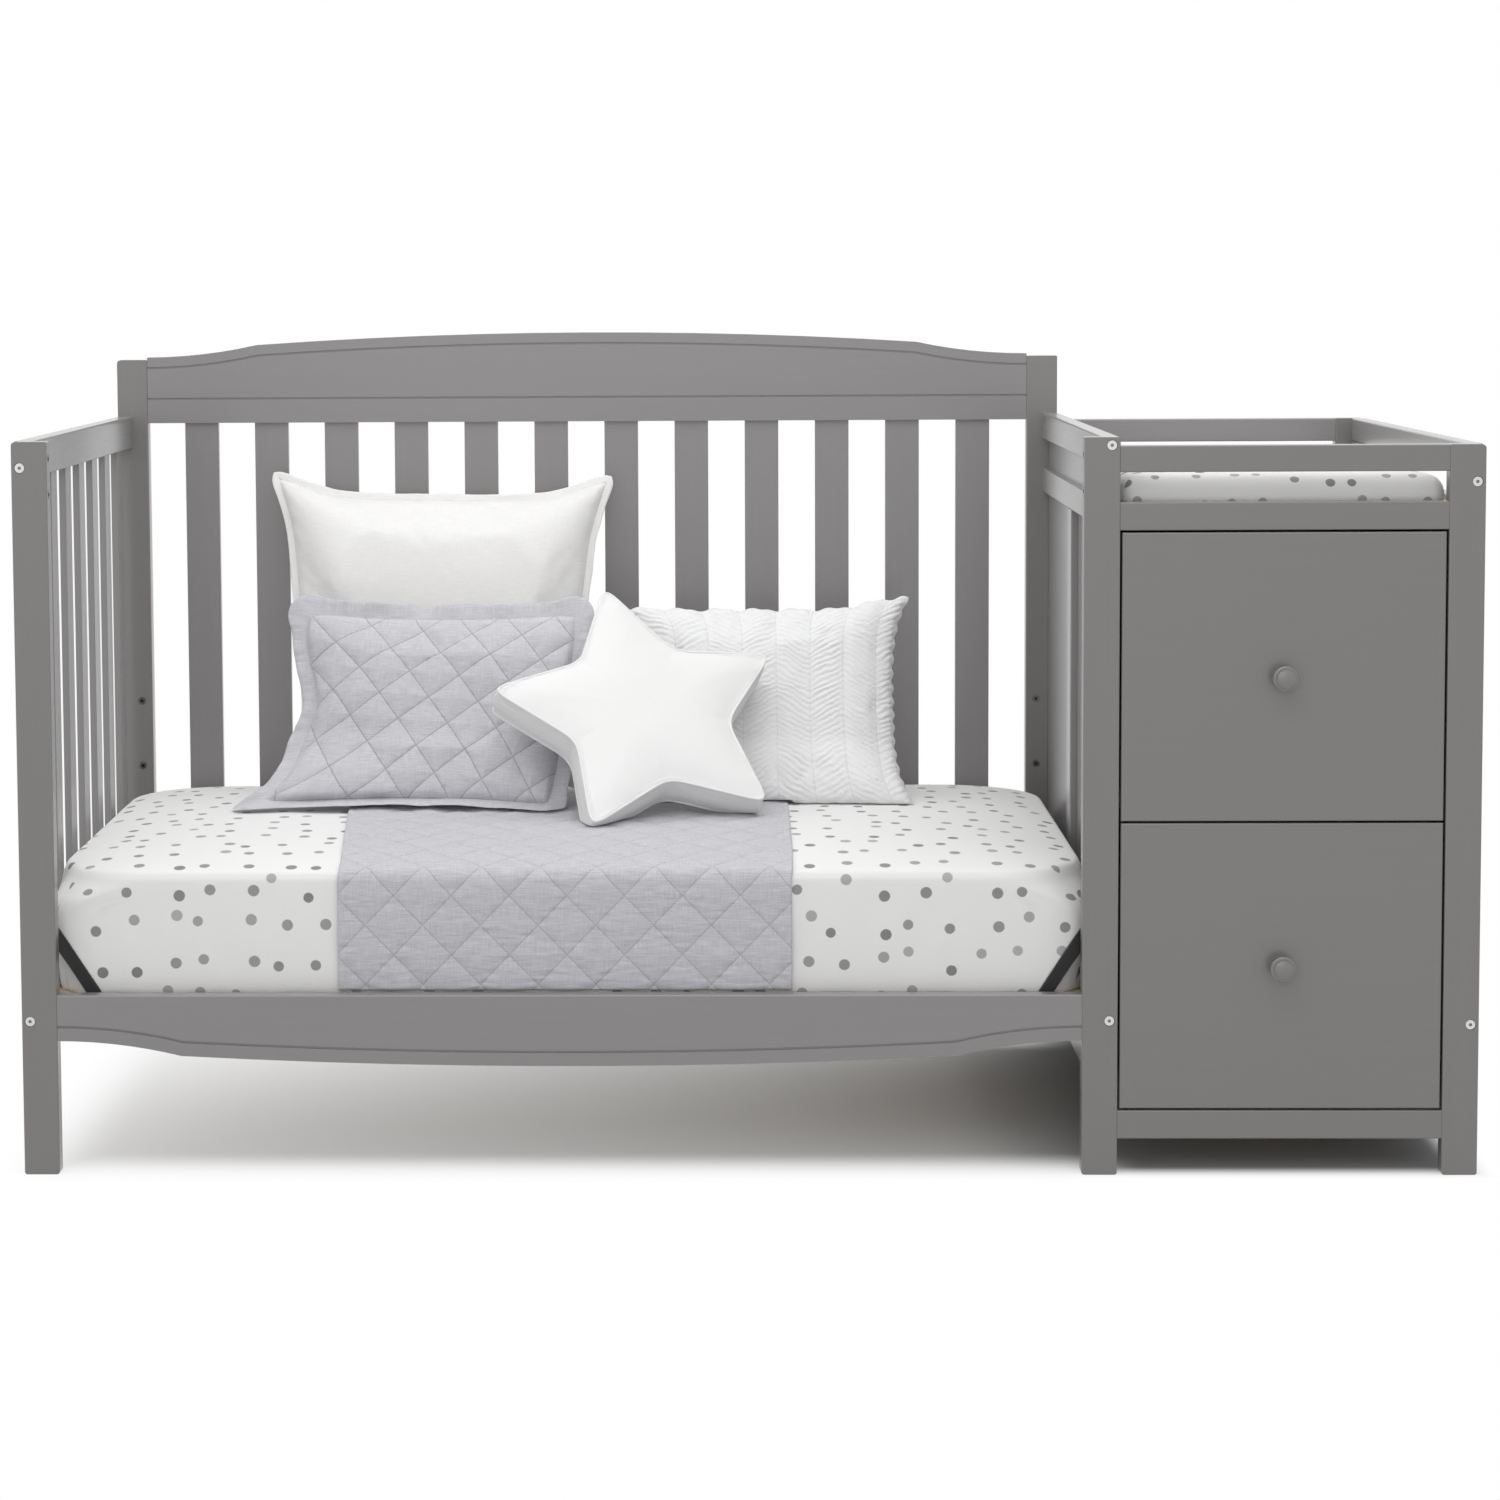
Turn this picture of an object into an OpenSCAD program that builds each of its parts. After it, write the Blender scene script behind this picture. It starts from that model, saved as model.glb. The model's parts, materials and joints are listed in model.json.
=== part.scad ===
// Full-size crib in its daybed setting, with a two-drawer changing chest fixed to its right end.
// Millimetres. X runs to the right, Y to the back and Z up, with Z = 0 on the floor.
// Sizes are laid out from the left side and the front faces of the posts, then moved home.

/* [Crib] */
// Inside length of the crib between its end panels
crib_length = 1330; // [1250:1:1400]
// Inside width of the crib from the front rail to the back rails
crib_width = 711; // [640:1:760]
// Width of every post, seen from the front
post_w = 44.5; // [40:0.5:56]
// Thickness of every post, front to back
post_t = 22; // [20:0.5:28]
// Height of the front posts at the ends of the crib
end_h = 923.5; // [900:0.5:960]
// Height of the back posts of the crib
back_h = 1006; // [990:0.5:1060]
// Thickness of the rails in the end panels
rail_t = 21; // [18:0.5:24]
// Thickness of the long rails between the posts
long_rail_t = 20; // [16:0.5:21]
// Radius of the eased edges of the rails and posts
ease = 2; // [1:0.5:3]
// Radius of the posts' outer top corners
top_round = 6; // [3:0.5:10]
// Radius of the corners of the feet
foot_round = 4; // [2:0.5:6]
// Set-back of rails and drawer fronts behind the posts' faces
face_back = 1; // [0.5:0.5:3]

/* [Headboard] */
// Height of the crest rail's middle above the back posts
crest_rise = 37; // [30:0.5:50]
// Height of the crest rail at mid length, top to bottom edge
crest_h = 129.5; // [110:0.5:150]
// Drop from mid length down to the shoulder
crest_sag = 16; // [8:0.5:24]
// Drop from the shoulder down to the crest rail's end
crest_step = 17.5; // [8:0.5:24]
// Length of the hollow curve from the end to the shoulder
crest_shoulder = 160; // [120:1:200]
// Distance of the upper groove below the top edge
crest_groove = 15.5; // [10:0.5:22]
// Distance of the lower groove above the lower edge
crest_low_groove = 34; // [24:1:44]
// Width of the grooves
groove_w = 3; // [2:0.5:4]
// Depth of the grooves
groove_d = 2; // [1:0.5:3]
// Number of slats in the headboard
head_slats = 12; // [10:1:13]
// Width of a headboard slat
head_slat_w = 49; // [40:0.5:54]
// Thickness of every slat
slat_t = 9; // [7:0.5:12]
// Depth of the slats' ends in the rails
slat_seat = 12; // [6:1:20]

/* [Front rail] */
// Height of the front rail's straight top edge
front_top_z = 228; // [215:1:240]
// Height of its lower edge at mid length
front_mid_z = 138; // [120:0.5:145]
// Rise from mid length up to the shoulder
front_sag = 13; // [6:0.5:20]
// Rise from the shoulder up to the rail's end
front_step = 19; // [10:0.5:26]
// Length of the hollow curve from the end to the shoulder
front_shoulder = 156; // [120:1:200]
// Distance of its groove above the lower edge
front_groove = 18; // [12:0.5:24]

/* [End panels] */
// Height of the left top rail, top to bottom edge
left_top_rail_h = 46.5; // [34:0.5:60]
// Number of slats in the left end panel
end_slats = 7; // [5:1:8]
// Width of a slat in the left end panel
end_slat_w = 36.7; // [30:0.1:44]
// Height of the left bottom rail's lower edge
left_low_z = 158; // [140:1:175]
// Height of the middle top rail, top to bottom edge
middle_top_rail_h = 38.5; // [28:0.5:50]
// Height of the middle panel's lower edge
middle_low_z = 87; // [60:1:140]
// Width of the upright stiles in the panels
stile_w = 40; // [34:1:60]
// Thickness of the panels held in grooves
panel_t = 6; // [4:0.5:8]
// Depth of the panels' edges in their grooves
panel_seat = 8; // [5:0.5:10]
// Set-back of the middle panels from the crib side
panel_back = 9; // [6:0.5:11]
// Clearance round slats and panels in their grooves
seat_gap = 0.2; // [0.1:0.05:0.4]

/* [Changing chest] */
// Clear width between the chest's posts
chest_w = 403.5; // [380:0.5:520]
// Drop of the chest's right side below the crib's end posts
chest_drop = 10.5; // [0:0.5:20]
// Height of the top rails of the chest
chest_top_rail_h = 33; // [26:1:40]
// Height of the open slot between the chest's top rails and deck rails
tray_slot = 37; // [25:1:45]
// Height of the deck rails, top to bottom edge
deck_rail_h = 35; // [30:1:40]
// Height of the bottom rails' lower edge
low_rail_z = 45.5; // [30:0.5:60]
// Height of the bottom rails, top to bottom edge
low_rail_h = 36; // [28:1:44]
// Thickness of the changing deck
deck_t = 9; // [6:0.5:12]
// Side of the square battens under the deck
batten = 19; // [15:1:22]
// Thickness of the chest's back panel
back_panel_t = 4; // [3:0.5:6]
// Depth of the back panel's edges in their grooves
back_panel_seat = 6; // [4:0.5:7]

/* [Drawers] */
// Gap round each drawer front
reveal = 2.5; // [1.5:0.5:4]
// Thickness of the drawer fronts
front_t = 18; // [15:0.5:19]
// Length of the drawer boxes behind their fronts
box_len = 550; // [450:1:620]
// Height of the drawer sides
box_h = 240; // [150:1:280]
// Thickness of the drawer sides and backs
side_t = 12; // [10:0.5:15]
// Thickness of the drawer bottoms
bottom_t = 4; // [3:0.5:6]
// Diameter of the knobs
knob_d = 32; // [26:1:40]
// Reach of the knobs from the drawer fronts
knob_reach = 26; // [20:1:34]
// Width of each slide between the chest and the drawer box
slide_w = 12.5; // [12.5:0.1:13.5]
// Height of the chest's slide profile
slide_h = 23; // [23:0.5:26]
// Thickness of the slides' sheet metal
sheet = 1.2; // [1:0.1:1.2]
// Diameter of the rollers fixed to the chest
fixed_roller_d = 18; // [14:0.5:18]
// Diameter of the rollers that run with the drawer
running_roller_d = 20; // [16:0.5:20]
// Width of the rollers
roller_w = 6; // [5:0.5:6.5]
// Diameter of the rollers' pins
roller_pin_d = 5; // [4:0.5:6]
// Clearance between the rollers and what they run on
roller_gap = 0.3; // [0.2:0.05:0.4]

/* [Mattress support] */
// Gap between the mattress and the crib's inside, all round
mattress_gap = 9.5; // [5:0.5:15]
// Height of the support slats' top face
support_z = 222; // [219:1:234]
// Thickness of the support slats
support_slat_t = 10; // [8:0.5:14]
// Number of support slats
support_slats = 12; // [8:1:14]
// Width of a support slat
support_slat_w = 70; // [50:1:80]
// Leg of the support frame's angle iron
angle_leg = 27; // [20:1:35]
// Thickness of the angle iron and the brackets
angle_t = 2; // [1.5:0.5:3]
// Height of the mattress's firm upper edge
mattress_edge_z = 374; // [360:1:390]
// Rise of the mattress's crown above its edge
mattress_crown = 14; // [6:1:24]

/* [Hardware] */
// Diameter of the connector bolts' shanks
bolt_d = 6; // [5:0.5:8]
// Diameter of the bolt heads
bolt_head_d = 12; // [10:0.5:14]
// Height of the bolt heads
bolt_head_h = 2.6; // [2:0.1:4]
// Depth of the recesses that take the bolt heads
bolt_recess = 3.4; // [3:0.1:5]
// Diameter of the barrel nuts
nut_d = 10; // [8:0.5:12]
// Length of the barrel nuts
nut_l = 14; // [10:0.5:16]
// Diameter of the threaded inserts
insert_d = 11.5; // [9:0.5:12]
// Length of the threaded inserts
insert_l = 13; // [10:0.5:15]
// Step between the heights that the mattress support can take
height_step = 96; // [64:1:100]
// Lowest height of the support's inserts
low_insert_z = 216.5; // [210:0.5:222]
// Drop of the lower insert for a front guard below the end posts' tops
guard_insert_drop = 66.5; // [55:0.5:100]
// Step between the two inserts for a front guard
guard_insert_step = 45; // [30:1:50]

/* [Bedding] */
// Width and thickness of the quilted throw
throw_w = 571; // [450:1:650]
throw_t = 5; // [3:0.5:8]
// Thickness of the changing pad
pad_h = 40; // [30:1:50]
// Gaps between the changing pad and the chest's left and right end panels
pad_left_gap = 2; // [1:1:12]
pad_right_gap = 21; // [1:1:30]
// Width, height and thickness of the plain pillow
plain_w = 484; // [440:1:520]
plain_h = 468; // [440:1:500]
plain_t = 130; // [100:1:150]
// Place of the plain pillow's lower edge, from the left side and the front
plain_x = 478; // [440:1:560]
plain_y = 584; // [560:1:600]
// Width, height and thickness of the quilted pillow
quilted_w = 432; // [380:1:460]
quilted_h = 304; // [280:1:340]
quilted_t = 84; // [70:1:100]
// Place of the quilted pillow's lower edge
quilted_x = 479; // [440:1:520]
quilted_y = 438; // [420:1:450]
// Width, height and thickness of the ruched pillow
ruched_w = 402; // [360:1:440]
ruched_h = 306; // [270:1:330]
ruched_t = 84; // [70:1:110]
// Place of the ruched pillow's lower edge
ruched_x = 949; // [930:1:1000]
ruched_y = 490; // [470:1:520]
// Reach of the star's tips and of its inner corners, and its thickness
star_r = 201; // [180:1:220]
star_inner_r = 114; // [100:1:125]
star_t = 46; // [40:1:60]
// Place of the star's middle, and its height over the throw
star_x = 780; // [750:1:800]
star_y = 370; // [350:1:390]
star_rise = 142; // [140:1:150]

/* [Hidden] */
$fn = 48;

paint = [0.50, 0.49, 0.475];
board = [0.80, 0.72, 0.60];
steel = [0.72, 0.73, 0.75];
enamel = [0.90, 0.90, 0.88];
nylon = [0.95, 0.95, 0.93];
white_cloth = [0.95, 0.95, 0.94];
grey_cloth = [0.76, 0.77, 0.79];
black_cloth = [0.08, 0.08, 0.09];
tiny = 0.3;        // room between faces that only rest against each other
cut = 1;           // how far a cutting shape runs past the face it cuts
curve_fn = 1440;   // facets of the long shallow curves

// Layout from the left side, the front faces and the floor
middle_x = 2 * rail_t + crib_length - post_w;
right_x = middle_x + post_w + chest_w;
total_w = right_x + post_w;
back_y = post_t + crib_width;
crest_mid_z = back_h + crest_rise;
crest_low_z = crest_mid_z - crest_h;
left_top_low_z = end_h - left_top_rail_h;
middle_top_low_z = end_h - middle_top_rail_h;
guard_insert_z = end_h - guard_insert_drop;
chest_h = end_h - chest_drop;
deck_rail_z = chest_h - chest_top_rail_h - tray_slot;
mattress_l = crib_length - 2 * mattress_gap;
mattress_w = crib_width - 2 * mattress_gap;
total_d = back_y + post_t;
opening_l = middle_x - post_w;
chest_x = middle_x + post_w;
middle_rail_x = chest_x - rail_t;
right_rail_x = total_w - rail_t;
deck_low_z = deck_rail_z - deck_rail_h;
low_rail_top = low_rail_z + low_rail_h;
drawer_h = (deck_low_z - low_rail_top - 3 * reveal) / 2;
drawer_z = [low_rail_top + reveal, low_rail_top + 2 * reveal + drawer_h];
front_w = chest_w - 2 * reveal;
home = [-total_w / 2, -(total_d + face_back - knob_reach) / 2, 0];

module at_home() { translate(home) children(); }

// ---------- boards ----------

// Rectangle from the origin with true round corners
module eased_rect(w, h, r) {
    translate([r, 0]) square([w - 2 * r, h]);
    translate([0, r]) square([w, h - 2 * r]);
    for (x = [r, w - r], y = [r, h - r]) translate([x, y]) circle(r);
}

module board_x(length, depth, height) {
    rotate([90, 0, 90]) linear_extrude(length) eased_rect(depth, height, ease);
}

module board_y(length, width, height) {
    translate([0, length, 0]) rotate([90, 0, 0]) linear_extrude(length) eased_rect(width, height, ease);
}

module board_z(height, width, depth) {
    linear_extrude(height) eased_rect(width, depth, ease);
}

// Extrudes a front view along Y, from y = 0 to the given thickness
module from_front(thickness) {
    translate([0, thickness, 0]) rotate([90, 0, 0]) linear_extrude(thickness) children();
}

// Square with one corner rounded away: the waste at a convex corner
module corner_waste(r) {
    difference() {
        translate([-cut, -cut]) square([r + cut, r + cut]);
        translate([r, r]) circle(r);
    }
}

// Front view of a post; outer is -1 for a left outer side, 1 for a right one and 0 for neither
module post_outline(h, outer) {
    difference() {
        square([post_w, h]);
        corner_waste(foot_round);
        translate([post_w, 0]) mirror([1, 0]) corner_waste(foot_round);
        if (outer < 0) translate([0, h]) mirror([0, 1]) corner_waste(top_round);
        if (outer > 0) translate([post_w, h]) mirror([1, 0]) mirror([0, 1]) corner_waste(top_round);
        if (outer >= 0) translate([0, h]) mirror([0, 1]) corner_waste(ease);
        if (outer <= 0) translate([post_w, h]) mirror([1, 0]) mirror([0, 1]) corner_waste(ease);
    }
}

module post_blank(h, outer) {
    intersection() {
        from_front(post_t) post_outline(h, outer);
        board_z(h, post_w, post_t);
    }
}

// ---------- slats and grooved panels ----------

head_gap = (opening_l - head_slats * head_slat_w) / (head_slats + 1);
head_slat_y = back_y + face_back + (long_rail_t - slat_t) / 2;
left_slat_gap = (crib_width - end_slats * end_slat_w) / (end_slats + 1);
left_slat_x = (rail_t - slat_t) / 2;

// The headboard's slats, or the mortises that take them where grow is over 0
module head_slat_row(grow) {
    for (i = [0 : head_slats - 1])
        translate([post_w + head_gap + i * (head_slat_w + head_gap) - grow, head_slat_y - grow,
                front_top_z - slat_seat - 2 * grow])
            cube([head_slat_w + 2 * grow, slat_t + 2 * grow,
                crest_low_z - front_top_z + 2 * slat_seat + 3 * grow]);
}

module left_slat_row(grow) {
    for (i = [0 : end_slats - 1])
        translate([left_slat_x - grow, post_t + left_slat_gap + i * (end_slat_w + left_slat_gap) - grow,
                front_top_z - slat_seat - 2 * grow])
            cube([slat_t + 2 * grow, end_slat_w + 2 * grow,
                left_top_low_z - front_top_z + 2 * slat_seat + 3 * grow]);
}

// One panel in a plane of constant X, its sight size grown by its seat on all edges
module side_panel(x, y0, y1, z0, z1, grow) {
    translate([x - grow, y0 - panel_seat - 2 * grow, z0 - panel_seat - 2 * grow])
        cube([panel_t + 2 * grow, y1 - y0 + 2 * panel_seat + 4 * grow,
            z1 - z0 + 2 * panel_seat + 4 * grow]);
}

middle_panel_x = middle_rail_x + panel_back;
stile_y = post_t + (crib_width - stile_w) / 2;
middle_rail_top = front_top_z;

module middle_panel_set(grow) {
    side_panel(middle_panel_x, post_t, back_y, deck_rail_z, middle_top_low_z, grow);
    side_panel(middle_panel_x, post_t, stile_y, middle_rail_top, deck_low_z, grow);
    side_panel(middle_panel_x, stile_y + stile_w, back_y, middle_rail_top, deck_low_z, grow);
}

right_panel_x = right_rail_x + (rail_t - panel_t) / 2;
right_rail_top = front_top_z;
right_field_y = [post_t + stile_w, back_y - stile_w];

module right_panel_set(grow) {
    side_panel(right_panel_x, right_field_y[0], stile_y, right_rail_top, deck_low_z, grow);
    side_panel(right_panel_x, stile_y + stile_w, right_field_y[1], right_rail_top, deck_low_z, grow);
}

back_panel_y = back_y + face_back + (long_rail_t - back_panel_t) / 2;

module back_panel_shape(grow) {
    translate([chest_x - back_panel_seat - grow, back_panel_y - grow, low_rail_top - back_panel_seat - grow])
        cube([chest_w + 2 * back_panel_seat + 2 * grow, back_panel_t + 2 * grow,
            deck_low_z - low_rail_top + 2 * back_panel_seat + 2 * grow]);
}

// ---------- connector bolts, barrel nuts and inserts ----------

// Where each connector enters an end panel: [x, z, depth of the nut behind the post]
nut_depth = 30;
stile_nut_depth = 20;
connectors = [
    [rail_t / 2, left_top_low_z + 14, nut_depth],
    [rail_t / 2, (left_low_z + front_top_z) / 2 + 2, nut_depth],
    [middle_rail_x + rail_t / 2, end_h - 10, nut_depth],
    [middle_rail_x + rail_t / 2, (left_low_z + front_top_z) / 2 + 2, nut_depth],
    [right_rail_x + rail_t / 2, deck_rail_z + 24, stile_nut_depth],
    [right_rail_x + rail_t / 2, (left_low_z + front_top_z) / 2 - 3, stile_nut_depth]];
shank_past_nut = 8;
bolt_room = 0.3;   // radial clearance of the bolts in the wood
nut_room = 0.1;    // radial clearance of the nuts and inserts in the wood

// Places its children at each connector, at the front and again mirrored at the back
module at_connectors(list = connectors) {
    for (c = list) {
        translate([c[0], 0, c[1]]) rotate([-90, 0, 0]) children();
        translate([c[0], total_d, c[1]]) rotate([90, 0, 0]) children();
    }
}

// Waste that a connector leaves in the wood, along +Z from the post's outer face
module connector_bores() {
    for (c = connectors) {
        for (side = [0, 1])
            translate([c[0], side * total_d, c[1]]) mirror([0, side, 0]) rotate([-90, 0, 0]) {
                translate([0, 0, -cut]) cylinder(bolt_recess + cut, r = bolt_head_d / 2 + 0.7);
                cylinder(post_t + c[2] + shank_past_nut + 2, r = bolt_d / 2 + bolt_room);
                translate([0, 0, post_t + c[2]]) rotate([0, -90, 0]) translate([0, 0, -nut_l / 2 - 0.5])
                    cylinder(rail_t, r = nut_d / 2 + nut_room);
            }
    }
}

module connector_bolt(depth) {
    difference() {
        union() {
            translate([0, 0, bolt_recess - bolt_head_h]) cylinder(bolt_head_h, r = bolt_head_d / 2);
            translate([0, 0, bolt_recess - tiny])
                cylinder(post_t + depth + shank_past_nut - bolt_recess, r = bolt_d / 2);
        }
        translate([0, 0, bolt_recess - bolt_head_h - cut])
            cylinder(bolt_head_h + cut - 0.6, r = 2.3, $fn = 6);
    }
}

support_insert_x = 15.5;   // distance of the support's inserts from the posts' crib side
support_insert_xs = [post_w - support_insert_x, middle_x + support_insert_x];
support_insert_zs = [for (i = [0 : 3]) low_insert_z + i * height_step];

// Places its children at the inserts, with +Z into the wood
module at_inserts() {
    for (x = support_insert_xs, z = support_insert_zs) {
        translate([x, post_t, z]) rotate([90, 0, 0]) children();
        translate([x, back_y, z]) rotate([-90, 0, 0]) children();
    }
    for (z = [guard_insert_z, guard_insert_z + guard_insert_step]) {
        translate([post_w, post_t / 2, z]) rotate([0, -90, 0]) children();
        translate([middle_x, post_t / 2, z]) rotate([0, 90, 0]) children();
    }
}

module insert_bores() {
    at_inserts() translate([0, 0, -cut]) cylinder(insert_l + cut + 0.5, r = insert_d / 2 + nut_room);
}

// ---------- posts ----------

module machined_post(x, y, h, outer) {
    color(paint) at_home() difference() {
        translate([x, y, 0]) post_blank(h, outer);
        connector_bores();
        insert_bores();
        middle_panel_set(seat_gap);
        back_panel_shape(seat_gap);
    }
}

module post_front_left() { machined_post(0, 0, end_h, -1); }
module post_front_middle() { machined_post(middle_x, 0, end_h, 0); }
module post_front_right() { machined_post(right_x, 0, chest_h, 1); }
module post_back_left() { machined_post(0, back_y, back_h, -1); }
module post_back_middle() { machined_post(middle_x, back_y, back_h, 0); }
module post_back_right() { machined_post(right_x, back_y, chest_h, 1); }

// ---------- headboard and front rail ----------

// Radius of an arc that drops by sag over the given half chord
function arc_radius(half_chord, sag) = (half_chord * half_chord + sag * sag) / (2 * sag);

// Straight-based outline with a long arch on top and a hollow curve at each end. The base is at
// y = 0, the arch peaks at mid, and inset moves the whole curve inwards.
module arched_outline(length, mid, sag, step, shoulder, inset) {
    arch_r = arc_radius(length / 2 - shoulder, sag);
    hollow_r = arc_radius(shoulder, step);
    end = mid - sag - step;
    difference() {
        intersection() {
            square([length, mid]);
            translate([length / 2, mid - arch_r]) circle(arch_r - inset, $fn = curve_fn);
        }
        for (x = [0, length]) translate([x, end + hollow_r]) circle(hollow_r + inset, $fn = curve_fn);
    }
}

module arched_groove(length, mid, sag, step, shoulder, inset) {
    difference() {
        arched_outline(length, mid, sag, step, shoulder, inset - groove_w / 2);
        arched_outline(length, mid, sag, step, shoulder, inset + groove_w / 2);
        translate([-cut, -cut]) square([length + 2 * cut, mid / 3]);
    }
}

module crest_rail() {
    color(paint) at_home() difference() {
        translate([post_w, back_y + face_back, crest_low_z]) difference() {
            from_front(long_rail_t)
                arched_outline(opening_l, crest_h, crest_sag, crest_step, crest_shoulder, 0);
            translate([0, -cut, 0]) from_front(groove_d + cut)
                arched_groove(opening_l, crest_h, crest_sag, crest_step, crest_shoulder, crest_groove);
            translate([-cut, -cut, crest_low_groove])
                cube([opening_l + 2 * cut, groove_d + cut, groove_w]);
        }
        head_slat_row(seat_gap);
    }
}

module headboard_slats() { color(paint) at_home() head_slat_row(0); }

module headboard_bottom_rail() {
    color(paint) at_home() difference() {
        translate([post_w, back_y + face_back, left_low_z])
            board_x(opening_l, long_rail_t, front_top_z - left_low_z);
        head_slat_row(seat_gap);
    }
}

// The front rail hangs its curve downwards, so its outline is the arched one upside down
front_h = front_top_z - front_mid_z;

module front_rail() {
    color(paint) at_home() translate([post_w, face_back, front_top_z]) mirror([0, 0, 1]) difference() {
        from_front(long_rail_t) arched_outline(opening_l, front_h, front_sag, front_step, front_shoulder, 0);
        translate([0, -cut, 0]) from_front(groove_d + cut)
            arched_groove(opening_l, front_h, front_sag, front_step, front_shoulder, front_groove);
        translate([-cut, 0, 0]) for (y = [0, long_rail_t]) translate([0, y, 0]) rotate([90, 0, 90])
            linear_extrude(opening_l + 2 * cut) mirror([y > 0 ? 1 : 0, 0]) corner_waste(ease);
    }
}

// ---------- left end panel ----------

module left_top_rail() {
    color(paint) at_home() difference() {
        translate([0, post_t, left_top_low_z]) board_y(crib_width, rail_t, end_h - left_top_low_z);
        left_slat_row(seat_gap);
        connector_bores();
    }
}

module left_slats() { color(paint) at_home() left_slat_row(0); }

module left_bottom_rail() {
    color(paint) at_home() difference() {
        translate([0, post_t, left_low_z]) board_y(crib_width, rail_t, front_top_z - left_low_z);
        left_slat_row(seat_gap);
        connector_bores();
    }
}

// ---------- middle end panel, shared by the crib and the chest ----------

module middle_rail(z0, z1) {
    color(paint) at_home() difference() {
        translate([middle_rail_x, post_t, z0]) board_y(crib_width, rail_t, z1 - z0);
        middle_panel_set(seat_gap);
        connector_bores();
    }
}

module middle_top_rail() { middle_rail(middle_top_low_z, end_h); }
module middle_deck_rail() { middle_rail(deck_low_z, deck_rail_z); }
module middle_bottom_rail() { middle_rail(middle_low_z, middle_rail_top); }

module middle_stile() {
    color(paint) at_home() difference() {
        translate([middle_rail_x, stile_y, middle_rail_top])
            board_z(deck_low_z - middle_rail_top, rail_t, stile_w);
        middle_panel_set(seat_gap);
    }
}

module middle_panels() { color(paint) at_home() middle_panel_set(0); }

// ---------- right end panel of the chest ----------

module right_top_rail() {
    color(paint) at_home() translate([right_rail_x, post_t, chest_h - chest_top_rail_h])
        board_y(crib_width, rail_t, chest_top_rail_h);
}

right_field_l = right_field_y[1] - right_field_y[0];

module right_lower_rails() {
    color(paint) at_home() difference() {
        for (z = [[deck_low_z, deck_rail_z], [low_rail_z, right_rail_top]])
            translate([right_rail_x, right_field_y[0], z[0]]) board_y(right_field_l, rail_t, z[1] - z[0]);
        right_panel_set(seat_gap);
    }
}

module right_stiles() {
    color(paint) at_home() difference() {
        union() {
            for (y = [post_t, right_field_y[1]]) translate([right_rail_x, y, low_rail_z])
                board_z(chest_h - chest_top_rail_h - low_rail_z, rail_t, stile_w);
            translate([right_rail_x, stile_y, right_rail_top])
                board_z(deck_low_z - right_rail_top, rail_t, stile_w);
        }
        right_panel_set(seat_gap);
        connector_bores();
    }
}

module right_panels() { color(paint) at_home() right_panel_set(0); }

// ---------- chest rails, back, battens and deck ----------

module chest_rail(y, z0, z1) {
    translate([chest_x, y, z0]) board_x(chest_w, long_rail_t, z1 - z0);
}

module chest_front_top_rail() {
    color(paint) at_home() chest_rail(face_back, chest_h - chest_top_rail_h, chest_h);
}

module chest_front_deck_rail() { color(paint) at_home() chest_rail(face_back, deck_low_z, deck_rail_z); }

module chest_front_bottom_rail() { color(paint) at_home() chest_rail(face_back, low_rail_z, low_rail_top); }

module chest_back_rails() {
    color(paint) at_home() difference() {
        union() {
            chest_rail(back_y + face_back, chest_h - chest_top_rail_h, chest_h);
            chest_rail(back_y + face_back, deck_low_z, deck_rail_z);
            chest_rail(back_y + face_back, low_rail_z, low_rail_top);
        }
        back_panel_shape(seat_gap);
    }
}

module chest_back_panel() { color(paint) at_home() back_panel_shape(0); }

// Inside faces of the deck rails, front and back
deck_front_y = face_back + long_rail_t;
deck_back_y = back_y + face_back;
deck_z = deck_low_z + batten + deck_t;
slide_base = [for (z = drawer_z) z + 14];
slide_batten_h = 46;
slide_batten_low = 8;   // drop of the slide battens below the slides

// Ledges under the deck, and the spacers that bring the sides out to the posts for the slides. The
// lower slide on the crib's side is screwed straight to the rail there.
module chest_battens() {
    color(board) at_home() {
        for (y = [deck_front_y, deck_back_y - batten])
            translate([chest_x, y, deck_low_z]) cube([chest_w, batten, batten]);
        for (x = [chest_x, right_rail_x - batten])
            translate([x, deck_front_y + batten, deck_low_z])
                cube([batten, deck_back_y - deck_front_y - 2 * batten, batten]);
        for (z = slide_base) translate([right_x, post_t, z - slide_batten_low])
            cube([right_rail_x - right_x, crib_width, slide_batten_h]);
        for (y = [[post_t, stile_y], [stile_y + stile_w, back_y]])
            translate([middle_panel_x + panel_t, y[0], slide_base[1] - slide_batten_low])
                cube([chest_x - middle_panel_x - panel_t, y[1] - y[0], slide_batten_h]);
    }
}

deck_gap = 0.5;

module changing_deck() {
    color(board) at_home() translate([chest_x + deck_gap, post_t + deck_gap, deck_z - deck_t])
        cube([right_rail_x - chest_x - 2 * deck_gap, crib_width - 2 * deck_gap, deck_t]);
}

// ---------- drawers ----------

box_y = face_back + front_t;
box_x = chest_x + slide_w;
box_w = chest_w - 2 * slide_w;
side_lift = sheet + slide_h / 2 - 0.7;   // drawer side's lower edge above the slide's base
bottom_lift = 10;                        // drawer bottom above the side's lower edge
bottom_seat = 6;                         // depth of the bottom's edges in their grooves
knob_screw_d = 4;

module drawer_bottom_shape(i, grow) {
    translate([box_x + side_t - bottom_seat - grow, box_y - bottom_seat - grow,
            slide_base[i] + side_lift + bottom_lift - grow])
        cube([box_w - 2 * side_t + 2 * bottom_seat + 2 * grow, box_len + bottom_seat + grow,
            bottom_t + 2 * grow]);
}

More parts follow.
